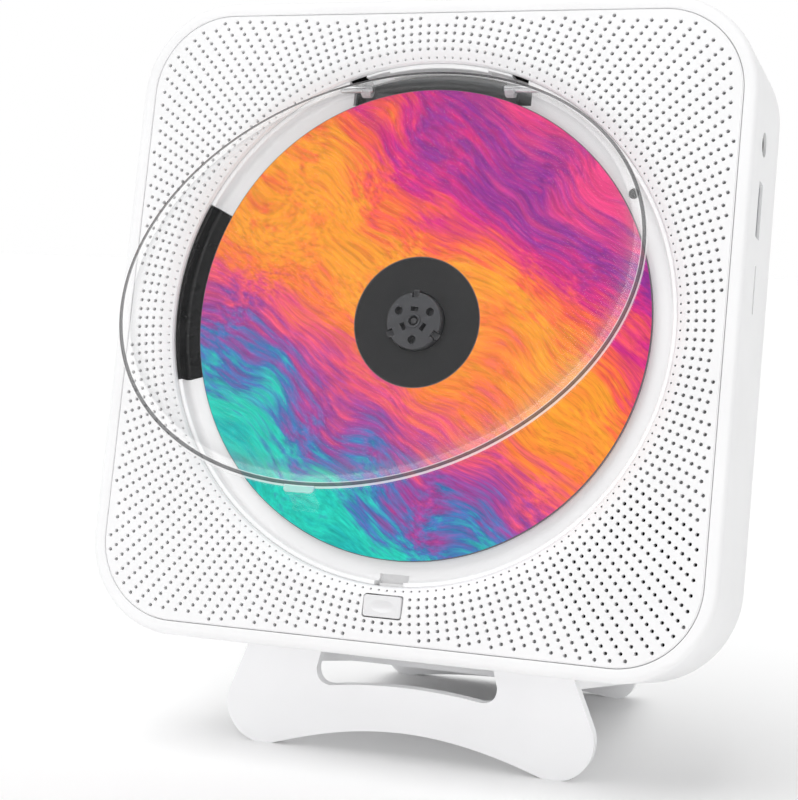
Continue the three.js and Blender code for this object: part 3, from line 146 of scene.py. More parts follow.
def dressed(piece, slot, replaced=(), body="player", matrix=WELL, crease=32, material=None):
    """Carries a piece in millimetres to its place, and gives it its body, finish and material."""
    piece.data.transform(matrix)
    piece.data.materials.clear()
    piece.data.materials.append(material or slot_materials[slot])
    piece.data.shade_smooth()
    piece.data.set_sharp_from_angle(angle=radians(crease))
    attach(piece, body)
    if replaced:
        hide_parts(*replaced)


def loft(name, rings, closed=False, on_axis=()):
    """Joins rings of as many points each. Closed, the last ring meets the first."""
    count = len(rings[0])
    corners = [point for ring in rings for point in ring]
    faces = []
    last = len(rings) if closed else len(rings) - 1
    for i in range(last):
        low, high = i * count, (i + 1) % len(rings) * count
        for j in range(count):
            k = (j + 1) % count
            if j not in on_axis or k not in on_axis:
                faces.append((low + j, low + k, high + k, high + j))
    if not closed:
        faces.append(tuple(range(count)))
        faces.append(tuple(range(len(corners) - count, len(corners))))
    return mesh_object(name, corners, faces)


def turned(name, profile, steps=ROUND_STEPS, x=0, z=0, start=0, end=360):
    """Turns a closed profile of (radius, depth) about the depth axis through (x, z)."""
    whole = end - start >= 360
    rings = []
    for i in range(steps if whole else steps + 1):
        angle = radians(start + (end - start) * i / steps)
        rings.append([(x + r * cos(angle), y, z + r * sin(angle)) for r, y in profile])
    on_axis = [j for j, (radius, _) in enumerate(profile) if radius == 0]
    return loft(name, rings, whole, on_axis)


def plug(name, radius, front, back, x=0, z=0, steps=SMALL_STEPS):
    return turned(name, [(0, front), (radius, front), (radius, back), (0, back)], steps, x, z)


def edged_plug(name, radius, front, back, edge, x=0, z=0):
    """A plug whose front edge is cut off slanting."""
    section = [(0, front), (radius - edge, front), (radius, front + edge), (radius, back), (0, back)]
    return turned(name, section, SMALL_STEPS, x, z)


def prism(name, outline, front, back):
    """An outline of (x, z) drawn out between two depths."""
    return loft(name, [[(x, depth, z) for x, z in outline] for depth in (front, back)])


def block(name, left, right, front, back, bottom, top):
    return prism(name, [(left, bottom), (right, bottom), (right, top), (left, top)], front, back)


def side_prism(name, outline, middle, half_width):
    """An outline of (y, z) drawn out to both sides of x = middle."""
    return loft(name, [[(x, y, z) for y, z in outline] for x in (middle - half_width, middle + half_width)])


def polar(radius, angle, x=0, z=0):
    return x + radius * cos(angle), z + radius * sin(angle)


def circle(radius, count, x=0, z=0):
    return [polar(radius, tau * i / count, x, z) for i in range(count)]


def bar(name, radius, left, right, y, z, chamfer=0.0):
    """A round bar along x, with its ends chamfered."""
    stations = [(left, radius - chamfer), (left + chamfer, radius)]
    stations += [(right - chamfer, radius), (right, radius - chamfer)]
    return loft(name, [[(x, *point) for point in circle(r, SMALL_STEPS, y, z)] for x, r in stations])


def arc(x, z, radius, start, end, steps=CORNER_STEPS):
    """Points of a round stretch, its angles in degrees."""
    angles = [radians(start + (end - start) * i / steps) for i in range(steps + 1)]
    return [polar(radius, angle, x, z) for angle in angles]


def rounded_outline(left, right, bottom, top, corner, steps=CORNER_STEPS):
    return [
        *arc(right - corner, bottom + corner, corner, -90, 0, steps),
        *arc(right - corner, top - corner, corner, 0, 90, steps),
        *arc(left + corner, top - corner, corner, 90, 180, steps),
        *arc(left + corner, bottom + corner, corner, 180, 270, steps),
    ]


# Material helpers
def feed(tree, made, inputs):
    """Gives each named socket of a node another node's output, or a plain value."""
    for name, value in inputs.items():
        if isinstance(value, bpy.types.NodeSocket):
            tree.links.new(value, made.inputs[name])
        else:
            made.inputs[name].default_value = value


def node(tree, kind, inputs=None, **settings):
    made = tree.nodes.new(kind)
    for name, value in settings.items():
        setattr(made, name, value)
    feed(tree, made, inputs or {})
    return made


def new_material(name):
    material = bpy.data.materials.new(name)
    material.use_nodes = True
    tree = material.node_tree
    tree.nodes.clear()
    shader = node(tree, "ShaderNodeBsdfPrincipled")
    node(tree, "ShaderNodeOutputMaterial", {"Surface": shader.outputs[0]})
    return material, tree, shader


def mapped(tree, kind, place, **inputs):
    return node(tree, "ShaderNodeMapping", {"Vector": place, **inputs}, vector_type=kind).outputs[0]


def millimetres(tree, matrix=STAND):
    """Places on the piece in millimetres of the given frame."""
    where, turn, _ = matrix.decompose()
    place = node(tree, "ShaderNodeTexCoord").outputs["Object"]
    return mapped(tree, "TEXTURE", place, Location=where, Rotation=turn.to_euler(), Scale=(MM, MM, MM))


def vectors(tree, operation, first, inputs):
    return node(tree, "ShaderNodeVectorMath", {0: first, **inputs}, operation=operation).outputs


def about_axis(tree, place):
    """A place's three parts, the place on the face, and its distance from the frame's axis."""
    parts = node(tree, "ShaderNodeSeparateXYZ", {"Vector": place}).outputs
    flat = node(tree, "ShaderNodeCombineXYZ", {"X": parts["X"], "Y": parts["Z"]}).outputs[0]
    radius = vectors(tree, "LENGTH", flat, {})["Value"]
    return parts, flat, radius


def noise(tree, place, size, detail=2.0, roughness=0.5, output="Fac"):
    """Noise from 0 to 1 with blotches of that size in millimetres."""
    inputs = {"Vector": place, "Scale": 1 / size, "Detail": detail, "Roughness": roughness}
    return node(tree, "ShaderNodeTexNoise", inputs).outputs[output]


def spread(tree, value, low, high, from_low=0.3, from_high=0.7):
    inputs = {"Value": value, "From Min": from_low, "From Max": from_high, "To Min": low, "To Max": high}
    return node(tree, "ShaderNodeMapRange", inputs).outputs["Result"]


def mixed(tree, share, first, second, blend="MIX"):
    inputs = {0: share, 6: first, 7: second}
    return node(tree, "ShaderNodeMix", inputs, data_type="RGBA", blend_type=blend).outputs[2]


def arithmetic(tree, operation, first, second=0.0):
    return node(tree, "ShaderNodeMath", {0: first, 1: second}, operation=operation).outputs[0]


def below(tree, value, limit):
    """1 where the value is under the limit, and 0 elsewhere."""
    return arithmetic(tree, "LESS_THAN", value, limit)


def above(tree, value, limit):
    return arithmetic(tree, "GREATER_THAN", value, limit)


def both(tree, first, second):
    return arithmetic(tree, "MULTIPLY", first, second)


def shade(colour, factor):
    return [min(1, channel * factor) for channel in colour] + [1]


def finish(tree, shader, base, roughness, height, relief, strength=1.0, specular=0.5):
    """Gives the shader its colour and gloss, and a relief in millimetres."""
    inputs = {"Height": height, "Distance": relief * MM, "Strength": strength}
    bump = node(tree, "ShaderNodeBump", inputs).outputs[0]
    inputs = {"Base Color": base, "Roughness": roughness, "Normal": bump, "Specular IOR Level": specular}
    feed(tree, shader, inputs)


def moulded(name, colour, roughness, grain=0.35, relief=0.004, variation=0.015, patch=22, specular=0.5):
    """Moulded plastic: faint patches of tone, uneven gloss and a fine texture from the mould."""
    material, tree, shader = new_material(name)
    place = millimetres(tree)
    tone = spread(tree, noise(tree, place, patch), 0, 1)
    base = mixed(tree, tone, shade(colour, 1 - variation), shade(colour, 1 + variation))
    gloss = spread(tree, noise(tree, place, patch / 5, 3), roughness - 0.05, roughness + 0.05)
    finish(tree, shader, base, gloss, noise(tree, place, grain, 3), relief, specular=specular)
    return material


def metal(name, colour, roughness, streak=(8, 0.25, 0.25), relief=0.002):
    """Ground or plated metal with fine streaks along x."""
    material, tree, shader = new_material(name)
    place = millimetres(tree)
    lines = noise(tree, mapped(tree, "TEXTURE", place, Scale=streak), 1, 3)
    stain = spread(tree, noise(tree, place, 6), 0, 1)
    base = mixed(tree, stain, shade(colour, 0.9), shade(colour, 1.04))
    finish(tree, shader, base, spread(tree, lines, roughness - 0.08, roughness + 0.1), lines, relief)
    shader.inputs["Metallic"].default_value = 1
    return material


def lid_clear():
    """Clear sheet, nearly unseen on the flat: painted shade on its shoulder, painted highlights in its rim, tab
    and ears, and a painted dark line at its edge.
    """
    material, tree, shader = new_material("clear_lid")
    place = millimetres(tree, LID)
    parts, _, radius = about_axis(tree, place)
    depth = parts["Y"]
    edge_on = node(tree, "ShaderNodeLayerWeight", {"Blend": 0.5}).outputs["Facing"]
    # A painted sheen: the lid's painted tones show more where the sheet is seen edge-on.
    sheen = spread(tree, arithmetic(tree, "POWER", edge_on, 5), 0.006, 0.35, 0, 1)
    smears = spread(tree, noise(tree, place, 14, 3), 0, 0.006)
    band_share = spread(tree, radius, 0, 1, LID_BAND_START, LID_RADIUS)
    skin = spread(tree, radius, *LID_SKIN_DEPTHS, LID_FLAT_RADIUS, LID_RIM_INNER)
    in_dome = both(tree, below(tree, radius, LID_OUTSIDE), below(tree, depth, skin))
    on_tab = both(tree, above(tree, radius, LID_OUTSIDE), below(tree, depth, LID_TAB_DEPTH))
    behind_rim = above(tree, depth, LID_RIM_BACK + RIM_CLEARANCE)
    on_ears = both(tree, above(tree, parts["Z"], LID_EAR_START), behind_rim)
    # The tab and the ears are painted pale, as a painted highlight.
    alpha = both(tree, arithmetic(tree, "ADD", on_tab, on_ears), TAB_AND_EAR_HIGHLIGHT_ALPHA)
    for veil in (sheen, smears, both(tree, colour_ramp(tree, band_share, LID_SHADE_AND_HIGHLIGHT_ALPHAS), in_dome)):
        alpha = arithmetic(tree, "ADD", alpha, veil)
    base = mixed(tree, in_dome, (0.95, 0.96, 0.97, 1), colour_ramp(tree, band_share, LID_SHADE_AND_HIGHLIGHT_TONES))
    gloss = spread(tree, noise(tree, place, 9), 0.03, 0.06)
    feed(tree, shader, {"Base Color": base, "Roughness": gloss, "Alpha": alpha, "IOR": 1.49})
    return material


def circuit_board(name, colour, copper):
    """Green board: lacquered tracks a little lighter than the ground, and a fine weave."""
    material, tree, shader = new_material(name)
    place = millimetres(tree)
    cells = node(tree, "ShaderNodeTexBrick", {"Vector": place, "Scale": 0.35, "Mortar Size": 0.06})
    weave = noise(tree, place, 0.4, 2)
    ground = mixed(tree, spread(tree, weave, 0, 1), shade(colour, 0.9), shade(colour, 1.1))
    base = mixed(tree, cells.outputs["Fac"], ground, (*copper, 1))
    finish(tree, shader, base, 0.38, weave, 0.01, 0.6)
    return material


def fibres(name, colour, roughness, size=0.5, relief=0.03):
    """Felted fibres, for paper, cloth and foam."""
    material, tree, shader = new_material(name)
    strands = noise(tree, millimetres(tree), size, 6, 0.7)
    base = mixed(tree, spread(tree, strands, 0, 1), shade(colour, 0.7), shade(colour, 1.3))
    finish(tree, shader, base, roughness, strands, relief, 0.8)
    return material


DISC_RADIUS = 60
LABEL_INNER = 16.6
LABEL_LINE = 0.12
PRINT_OUTER = 59.8
PRINT_SLANT = -58
PRINT_WANDER = 52
BAND_SWAY = 95
STROKE_SWAY = 32
FRAYING = 9
PRINT_BANDS = [
    (0, (0.01, 0.4, 0.42)),
    (0.12, (0.02, 0.62, 0.48)),
    (0.2, (0.06, 0.18, 0.48)),
    (0.28, (0.35, 0.06, 0.32)),
    (0.36, (0.8, 0.09, 0.2)),
    (0.46, (0.96, 0.2, 0.05)),
    (0.57, (0.98, 0.36, 0.03)),
    (0.66, (0.95, 0.13, 0.06)),
    (0.76, (0.7, 0.03, 0.22)),
    (0.86, (0.28, 0.03, 0.3)),
    (1, (0.85, 0.06, 0.24)),
]
LABEL_BLACK = (0.022, 0.022, 0.023, 1)
LINE_GREY = (0.12, 0.1, 0.1, 1)
EDGE_GREY = (0.12, 0.11, 0.13, 1)
LID_RADIUS = 63.9
LID_RIM_INNER = 61.2
LID_RIM_BACK = 3.3
LID_FLAT_RADIUS = 55.5
LID_BAND_START = 56.9
LID_SKIN_DEPTHS = (0.9, 2.4)
LID_OUTSIDE = 63.95
LID_TAB_DEPTH = 2.1
LID_EAR_START = 50
RIM_CLEARANCE = 0.1
# How opaque the pale painted highlight on the tab and the ears is.
TAB_AND_EAR_HIGHLIGHT_ALPHA = 0.35
# Tones across the lid's outer band: painted shade on the shoulder, a painted highlight over the rim, a painted
# dark line at the edge and a thin painted highlight outside it.
LID_SHADE_AND_HIGHLIGHT_TONES = [
    (0.0, (0.4, 0.41, 0.42)),
    (0.57, (0.33, 0.34, 0.35)),
    (0.62, (0.98, 0.98, 0.98)),
    (0.84, (0.98, 0.98, 0.98)),
    (0.86, (0.03, 0.03, 0.033)),
    (0.97, (0.03, 0.03, 0.033)),
    (0.985, (0.9, 0.9, 0.9)),
]
# How opaque each band of painted shade and highlight is.
LID_SHADE_AND_HIGHLIGHT_STOPS = [(0.0, 0.0), (0.3, 0.07), (0.57, 0.26), (0.63, 0.14), (0.81, 0.13), (0.845, 0.55)]
LID_SHADE_AND_HIGHLIGHT_STOPS += [(0.86, 0.84), (0.97, 0.84), (0.985, 0.6)]
LID_SHADE_AND_HIGHLIGHT_ALPHAS = [(share, (alpha,) * 3) for share, alpha in LID_SHADE_AND_HIGHLIGHT_STOPS]


def colour_ramp(tree, value, stops):
    ramp = node(tree, "ShaderNodeValToRGB", {"Fac": value})
    elements = ramp.color_ramp.elements
    elements.remove(elements[1])
    elements[0].position, elements[0].color = stops[0][0], (*stops[0][1], 1)
    for at, colour in stops[1:]:
        elements.new(at).color = (*colour, 1)
    return ramp.outputs["Color"]


def disc_print():
    """A made-up print for the disc: streaked bands of colour that sweep across it, and a dark middle."""
    material, tree, shader = new_material("disc_print")
    _, flat, radius = about_axis(tree, millimetres(tree, WELL))
    wander = noise(tree, flat, PRINT_WANDER, output="Color")
    centred = vectors(tree, "SUBTRACT", wander, {1: (0.5, 0.5, 0.5)})[0]

    def swayed(distance):
        """Places on the face turned along the bands, and pushed about by up to the distance."""
        push = vectors(tree, "SCALE", centred, {"Scale": distance})[0]
        moved = vectors(tree, "ADD", flat, {1: push})[0]
        return mapped(tree, "POINT", moved, Rotation=(0, 0, radians(PRINT_SLANT)))

    along = node(tree, "ShaderNodeSeparateXYZ", {"Vector": swayed(BAND_SWAY)}).outputs["X"]
    brush = swayed(STROKE_SWAY)
    streaks = noise(tree, mapped(tree, "TEXTURE", brush, Scale=(1, 9, 1)), 2.2, 5, 0.62)
    level = arithmetic(tree, "ADD", along, spread(tree, streaks, -FRAYING, FRAYING))
    bands = colour_ramp(tree, spread(tree, level, 0, 1, -DISC_RADIUS, DISC_RADIUS), PRINT_BANDS)
    strokes = noise(tree, mapped(tree, "TEXTURE", brush, Scale=(1, 16, 1)), 0.9, 5, 0.7)
    ridges = spread(tree, strokes, 0.7, 1.2)
    painted = mixed(tree, 1.0, bands, ridges, "MULTIPLY")
    from_line = arithmetic(tree, "ABSOLUTE", arithmetic(tree, "SUBTRACT", radius, LABEL_INNER))
    painted = mixed(tree, below(tree, radius, LABEL_INNER), painted, LABEL_BLACK)
    painted = mixed(tree, below(tree, from_line, LABEL_LINE), painted, LINE_GREY)
    painted = mixed(tree, above(tree, radius, PRINT_OUTER), painted, EDGE_GREY)
    finish(tree, shader, painted, 0.4, strokes, 0.01, 0.5, 0.2)
    return material


# A mid grey for the floors of the shallow holes: painted shade in the recesses.
painted_hole_shade = moulded("painted_hole_shade", (0.27, 0.27, 0.275), 0.6)
# A darker copy of the tray's white for the button: painted shade on the button.
button_white_with_painted_shade = moulded("button_white_with_painted_shade", (0.8, 0.8, 0.81), 0.33, relief=0.002)
trough_plastic = moulded("trough_plastic", (0.05, 0.053, 0.052), 0.45, 0.3, 0.006, 0.12)
claw_grey = moulded("claw_grey", (0.03, 0.03, 0.033), 0.25, 0.25, 0.004, 0.1, 4)
dark_steel = metal("dark_steel", (0.12, 0.12, 0.125), 0.4)
speaker_cloth = fibres("speaker_cloth", (0.006, 0.006, 0.007), 0.95, 0.3, 0.06)
slot_materials = {
    "housing_white": moulded("white_housing", (0.90, 0.90, 0.905), 0.42),
    "tray_white": moulded("white_tray", (0.97, 0.97, 0.975), 0.33, relief=0.002),
    "stand_white": moulded("white_stand", (0.95, 0.95, 0.96), 0.36, relief=0.002),
    "clear_plastic": lid_clear(),
    "smoked_plastic": moulded("smoked_window", (0.007, 0.007, 0.0075), 0.3, 0.4, 0.001, 0.1, specular=0.25),
    "black_plastic": moulded("black_plastic", (0.035, 0.036, 0.038), 0.5, 0.3, 0.006, 0.12),
    "hub_plastic": moulded("hub_grey", (0.05, 0.051, 0.056), 0.4, 0.25, 0.005, 0.12, 6),
    "black_rubber": moulded("damper_rubber", (0.012, 0.012, 0.013), 0.85, 0.25, 0.02, 0.2, 4),
    "board_green": circuit_board("board_lacquer", (0.02, 0.13, 0.05), (0.06, 0.26, 0.1)),
    "steel": metal("ground_steel", (0.6, 0.61, 0.62), 0.3),
    "zinc_plate": metal("zinc_plate", (0.66, 0.67, 0.69), 0.36, (1.5, 0.6, 0.6)),
    "bright_nickel": metal("bright_nickel", (0.72, 0.72, 0.71), 0.2, (4, 0.5, 0.5), 0.001),
    "paper_cone": fibres("coned_paper", (0.025, 0.026, 0.028), 0.85),
    "lens_glass": moulded("lens_coating", (0.16, 0.24, 0.36), 0.06, 0.4, 0.0005, 0.1, 2),
    "disc_print": disc_print(),
}
for subpart in frame["record"]["subparts"]:
    cad_node = frame["nodes"][subpart["node"]]
    cad_node.data.materials.clear()
    cad_node.data.materials.append(slot_materials[subpart["material_slot"]])

# Housing: a rounded square ring, open at the face for the panel and at the back for the cover
HALF_WIDTH = 81.8
HALF_HEIGHT = 83.1
BODY_DEPTH = 36
BODY_CORNER = 24.4
BODY_ROUND = 1.6
BODY_WALL = 2.8
RIM_WIDTH = 3.5
RIM_ROUND = 0.35
PANEL_SEAT_DEPTH = 2.3
PANEL_SEAT_BACK = 4.2
PANEL_SEAT_INNER = 5.5
REAR_SEAT_FRONT = 33.3
REAR_SEAT_WALL = 1.8
PORT_DEPTH = 13.5
JACK_RISE = 48.5
MOUTH_ROUND = 0.4


def face_outline(inset):
    """The face's outline in the well's frame, drawn in by the inset."""
    sides = (inset - HALF_WIDTH, HALF_WIDTH - inset)
    ends = (inset - HALF_HEIGHT - FACE_DROP, HALF_HEIGHT - inset - FACE_DROP)
    return rounded_outline(*sides, *ends, BODY_CORNER - inset)


def within_face(x, z, inset):
    corner = BODY_CORNER - inset
    dx = abs(x) - (HALF_WIDTH - inset - corner)
    dz = abs(z + FACE_DROP) - (HALF_HEIGHT - inset - corner)
    return hypot(max(dx, 0), max(dz, 0)) <= corner


def quarter_round(radius, steps=EDGE_STEPS):
    """(inset, depth) of an edge rounded over from the face to the side."""
    angles = [pi / 2 * i / steps for i in range(steps + 1)]
    return [(radius * (1 - sin(a)), radius * (1 - cos(a))) for a in angles]


def side_mouth(name, half_length, half_thickness, corner, depth, height, side):
    """A cutter for a socket's mouth through the side wall; height is from the disc's axis."""
    sides = (-half_thickness, half_thickness, -half_length, half_length)
    outline = rounded_outline(*sides, corner, LITTLE_CORNER_STEPS)
    spans = (HALF_WIDTH - BODY_WALL - OVERRUN, HALF_WIDTH + OVERRUN)
    return loft(name, [[(side * x, depth + y, height + z) for y, z in outline] for x in spans])


# Name, half length, half thickness, corner, depth, height and side of each mouth
PORTS = [
    ("jack_mouth", 3, 3, 2.94, PORT_DEPTH, JACK_RISE, 1),
    ("usb_mouth", 6.9, 2.7, MOUTH_ROUND, PORT_DEPTH, 32.2, 1),
    ("card_mouth", 6, 0.8, MOUTH_ROUND, 14.9, 13.0, 1),
    ("power_mouth", 4.7, 1.8, MOUTH_ROUND, PORT_DEPTH, -20.8, -1),
]


def housing():
    front = quarter_round(BODY_ROUND)
    back = [(inset, BODY_DEPTH - depth) for inset, depth in reversed(front)]
    rim = reversed(quarter_round(RIM_ROUND, LITTLE_EDGE_STEPS))
    lip = [(RIM_WIDTH - inset, depth) for inset, depth in rim]
    inside = [
        (REAR_SEAT_WALL, BODY_DEPTH), (REAR_SEAT_WALL, REAR_SEAT_FRONT),
        (BODY_WALL, REAR_SEAT_FRONT), (BODY_WALL, PANEL_SEAT_BACK),
        (PANEL_SEAT_INNER, PANEL_SEAT_BACK), (PANEL_SEAT_INNER, PANEL_SEAT_DEPTH),
        (RIM_WIDTH, PANEL_SEAT_DEPTH),
    ]
    section = [*lip, *front, *back, *inside]
    rings = [[(x, depth, z) for x, z in face_outline(inset)] for inset, depth in section]
    body = loft("housing_shell", rings, closed=True)
    body = carved(body, *[side_mouth(*port) for port in PORTS])
    dressed(body, "housing_white", ["main_housing"])


housing()

# Grille panel: holes on rings and spokes about the disc's axis. Those over the speakers go
# through, and the others are shallow, with painted shade on their floors.
PANEL_INSET = 3.65
PANEL_THICKNESS = 2
PANEL_ROUND = 0.3
DISH_OUTER = 71.5
DISH_INNER = 66.4
DISH_DEPTH = 2.2
LIP_BACK = 3.8
LIP_OUTER = 67.6
BACK_INNER = 70.6
DISH_CIRCLES = [68.4, 70.4, 72.4]
CIRCLE_POINTS = 400
SPOKES = 200
SPOKE_START = -84.36
RING_START = 67.4
RING_PITCH = 2.0
RING_COUNT = 26
HOLE_RADIUS = 0.46
HOLE_SIDES = 12
HOLE_ROUND = 0.15
HOLE_DEPTH = 1.45
INNER_HOLE_RADII = [0.24, 0.4]
HOLE_MARGIN = 1.35
SPEAKER_SPOKE = -44.0
SPEAKER_SPREAD = 11.9
SPEAKER_FIRST_RING = 71
BUTTON_HALF_WIDTH = 5.2
BUTTON_TOP = -68.4
BUTTON_BOTTOM = -74.3
BUTTON_CORNER = 0.7
BUTTON_CORNER_STEPS = 6
BUTTON_MARGIN = 0.45


def dish(radius):
    """How far the face lies back at that distance from the disc's axis."""
    share = min(1, max(0, (DISH_OUTER - radius) / (DISH_OUTER - DISH_INNER)))
    return DISH_DEPTH * (1 - cos(share * pi / 2))


def over_speaker(angle):
    """True for spokes that cross a speaker, at the lower right or, mirrored, the lower left."""
    folded = (angle + 180) % 360 - 180
    mirrored = -180 - folded
    return min(abs(folded - SPEAKER_SPOKE), abs(mirrored - SPEAKER_SPOKE)) <= SPEAKER_SPREAD


def grille_holes():
    """(x, z, radius, through) of each hole."""
    holes = []
    for ring in range(RING_COUNT):
        distance = RING_START + ring * RING_PITCH
        radius = INNER_HOLE_RADII[ring] if ring < len(INNER_HOLE_RADII) else HOLE_RADIUS
        for spoke in range(SPOKES):
            angle = SPOKE_START + 360 * spoke / SPOKES
            x, z = polar(distance, radians(angle))
            clear = BUTTON_MARGIN + radius
            by_button = abs(x) < BUTTON_HALF_WIDTH + clear
            by_button = by_button and BUTTON_BOTTOM - clear < z < BUTTON_TOP + clear
            if by_button or not within_face(x, z, PANEL_INSET + HOLE_MARGIN):
                continue
            through = distance > SPEAKER_FIRST_RING and over_speaker(angle)
            holes.append((x, z, radius, through))
    return holes


def perforated(outline, loops, points=(), crease=()):
    """Fills a flat outline around its openings: its points, its triangles and where each loop starts."""
    places = []
    owner = []
    edges = []
    starts = []
    for number, loop in enumerate((outline, crease, *loops), -2):
        first = len(places)
        starts.append(first)
        places += [Vector(point) for point in loop]
        owner += [number] * len(loop)
        edges += [(first + i, first + (i + 1) % len(loop)) for i in range(len(loop))]
    places += [Vector(point) for point in points]
    owner += [-1] * len(points)
    _, _, triangles, sources, _, _ = delaunay_2d_cdt(places, edges, [], 0, WELD / 10)
    number_of = [source[0] for source in sources]
    kept = []
    for triangle in triangles:
        a, b, c = [number_of[i] for i in triangle]
        if owner[a] < 0 or not owner[a] == owner[b] == owner[c]:
            kept.append((a, b, c))
    return places, kept, starts[2:]


def grille_panel():
    holes = grille_holes()
    sides = (-BUTTON_HALF_WIDTH, BUTTON_HALF_WIDTH, BUTTON_BOTTOM, BUTTON_TOP)
    button = rounded_outline(*sides, BUTTON_CORNER, BUTTON_CORNER_STEPS)
    loops = [circle(DISH_INNER + PANEL_ROUND, CIRCLE_POINTS)]
    loops += [circle(radius + HOLE_ROUND, HOLE_SIDES, x, z) for x, z, radius, _ in holes]
    extra = [point for radius in DISH_CIRCLES for point in circle(radius, CIRCLE_POINTS)
             if not (abs(point[0]) < BUTTON_HALF_WIDTH + BUTTON_CORNER and point[1] < 0)]
    outline = face_outline(PANEL_INSET + PANEL_ROUND)
    flat, triangles, starts = perforated(outline, loops, extra, button)
    corners = [(x, dish(hypot(x, z)), z) for x, z in flat]
    faces = list(triangles)

    def wall(upper, ring):
        """Adds a ring of points and the faces between it and the one before."""
        first = len(corners)
        corners.extend(ring)
        count = len(ring)
        for i in range(count):
            j = (i + 1) % count
            faces.append((upper + i, upper + j, first + j, first + i))
        return first

    edge = 0
    for inset, depth in reversed(quarter_round(PANEL_ROUND, LITTLE_EDGE_STEPS)[:-1]):
        depth = PANEL_ROUND - depth
        edge = wall(edge, [(x, depth, z) for x, z in face_outline(PANEL_INSET + PANEL_ROUND - inset)])
    back = face_outline(PANEL_INSET)
    back_edge = wall(edge, [(x, PANEL_THICKNESS, z) for x, z in back])

    lip = starts[0]
    lip_profile = [
        (DISH_INNER, DISH_DEPTH + PANEL_ROUND), (DISH_INNER, LIP_BACK),
        (LIP_OUTER, LIP_BACK), (BACK_INNER, PANEL_THICKNESS),
    ]
    for radius, depth in lip_profile:
        lip = wall(lip, [(x, depth, z) for x, z in circle(radius, CIRCLE_POINTS)])

    openings = [(lip, circle(BACK_INNER, CIRCLE_POINTS))]
    for start, (x, z, radius, through) in zip(starts[1:], holes):
        top = dish(hypot(x, z))
        bottom = PANEL_THICKNESS if through else top + HOLE_DEPTH
        ring = circle(radius, HOLE_SIDES, x, z)
        rim = wall(start, [(px, top + HOLE_ROUND, pz) for px, pz in ring])
        foot = wall(rim, [(px, bottom, pz) for px, pz in ring])
        if through:
            openings.append((foot, ring))
        else:
            faces.append(tuple(range(foot, foot + HOLE_SIDES)))

    _, rear_triangles, _ = perforated(back, [ring for _, ring in openings])
    numbers = []
    for first, ring in ((back_edge, back), *openings):
        numbers += range(first, first + len(ring))
    faces += [tuple(numbers[i] for i in triangle) for triangle in rear_triangles]
    panel = mesh_object("grille", corners, faces)
    panel = carved(panel, prism("button_opening", button, -OVERRUN, LIP_BACK + OVERRUN))
    dressed(panel, "housing_white", ["grille_panel"], crease=25)
    # The floors of the shallow holes take the painted shade.
    panel.data.materials.append(painted_hole_shade)
    for polygon in panel.data.polygons:
        if len(polygon.vertices) == HOLE_SIDES:
            polygon.material_index = 1


grille_panel()

# Black cloth behind the through holes
CLOTH_FRONT = 2.05
CLOTH_BACK = 2.35
CLOTH_MARGIN = 1.2
CLOTH_INSET = 5.6
CLOTH_REACH_STEP = 0.25


def cloth_reach(angle):
    """How far out the cloth goes in that direction."""
    reach = DISH_OUTER
    while within_face(*polar(reach, angle), CLOTH_INSET):
        reach += CLOTH_REACH_STEP
    return reach


for side, sign in SIDES:
    half = SPEAKER_SPREAD + CLOTH_MARGIN
    stops = [SPEAKER_SPOKE - half + 2 * half * i / CORNER_STEPS for i in range(CORNER_STEPS + 1)]
    angles = [radians(stop) for stop in stops]
    outline = [polar(DISH_OUTER - CLOTH_MARGIN, angle) for angle in angles]
    outline += [polar(cloth_reach(angle), angle) for angle in reversed(angles)]
    outline = [(sign * x, z) for x, z in outline]
    cloth = prism(f"speaker_cloth_{side}", outline, CLOTH_FRONT, CLOTH_BACK)
    dressed(cloth, "paper_cone", material=speaker_cloth)

# Disc tray: the well's floor, cove and wall, and its openings
WELL_RADIUS = 65.2
WELL_RIM_FRONT = 3.2
TRAY_FLOOR = 7
TRAY_BACK = 8.8
COVE_RADIUS = 1.2
RIM_EDGE = 0.2
WALL_OUTER = 66.35
CUT_OUTER = 67
CUT_BACK = TRAY_BACK + OVERRUN
LATCH_NOTCH = (-3.8, 3.8, 0, 8.5, -CUT_OUTER, -63.3)
HINGE_RECESS = (-24, 24, 0, CUT_BACK, 56.4, CUT_OUTER)
# Half length, front and inner radius of each stretch of wall that stays in the recess
KEPT_WALLS = [(13.2, -1, 64.9), (19.5, -1, 65.7), (25, 7.5, 64.9)]
WINDOW_FROM = 154.4
WINDOW_TO = 195.9
WINDOW_INNER = 55
WINDOW_BACK = 8.2
WINDOW_GAP = 0.3
TURNTABLE_OPENING = 19
PICKUP_SLOT = (-17, 17, -59, 0, 13)
IR_PLACE = (52.2, 34.4)
IR_RADIUS = 1.2
PIN_RADIUS = 1


def cove_profile(inner, back):
    """(radius, depth) of the tray from its floor, around its cove and over its rim."""
    cove = arc(WELL_RADIUS - COVE_RADIUS, TRAY_FLOOR - COVE_RADIUS, COVE_RADIUS, 90, 0, LITTLE_CORNER_STEPS)
    return [
        (inner, TRAY_FLOOR),
        *cove,
        (WELL_RADIUS, WELL_RIM_FRONT + RIM_EDGE),
        (WELL_RADIUS + RIM_EDGE, WELL_RIM_FRONT),
        (WALL_OUTER - RIM_EDGE, WELL_RIM_FRONT),
        (WALL_OUTER, WELL_RIM_FRONT + RIM_EDGE),
        (WALL_OUTER, back),
        (inner, back),
    ]


def hinge_recess():
    """The recess's cutter: it leaves the wall standing in the middle, and low down beside the ears."""
    cutter = block("recess_cut", *HINGE_RECESS)
    for half_length, front, radius in KEPT_WALLS:
        spans = (-half_length, half_length, front, CUT_BACK + OVERRUN, 0, CUT_OUTER + OVERRUN)
        inside = plug("kept_inside", radius, front - OVERRUN, CUT_BACK + 2 * OVERRUN, steps=2 * ROUND_STEPS)
        cutter = carved(cutter, carved(block("kept_wall", *spans), inside))
    return cutter


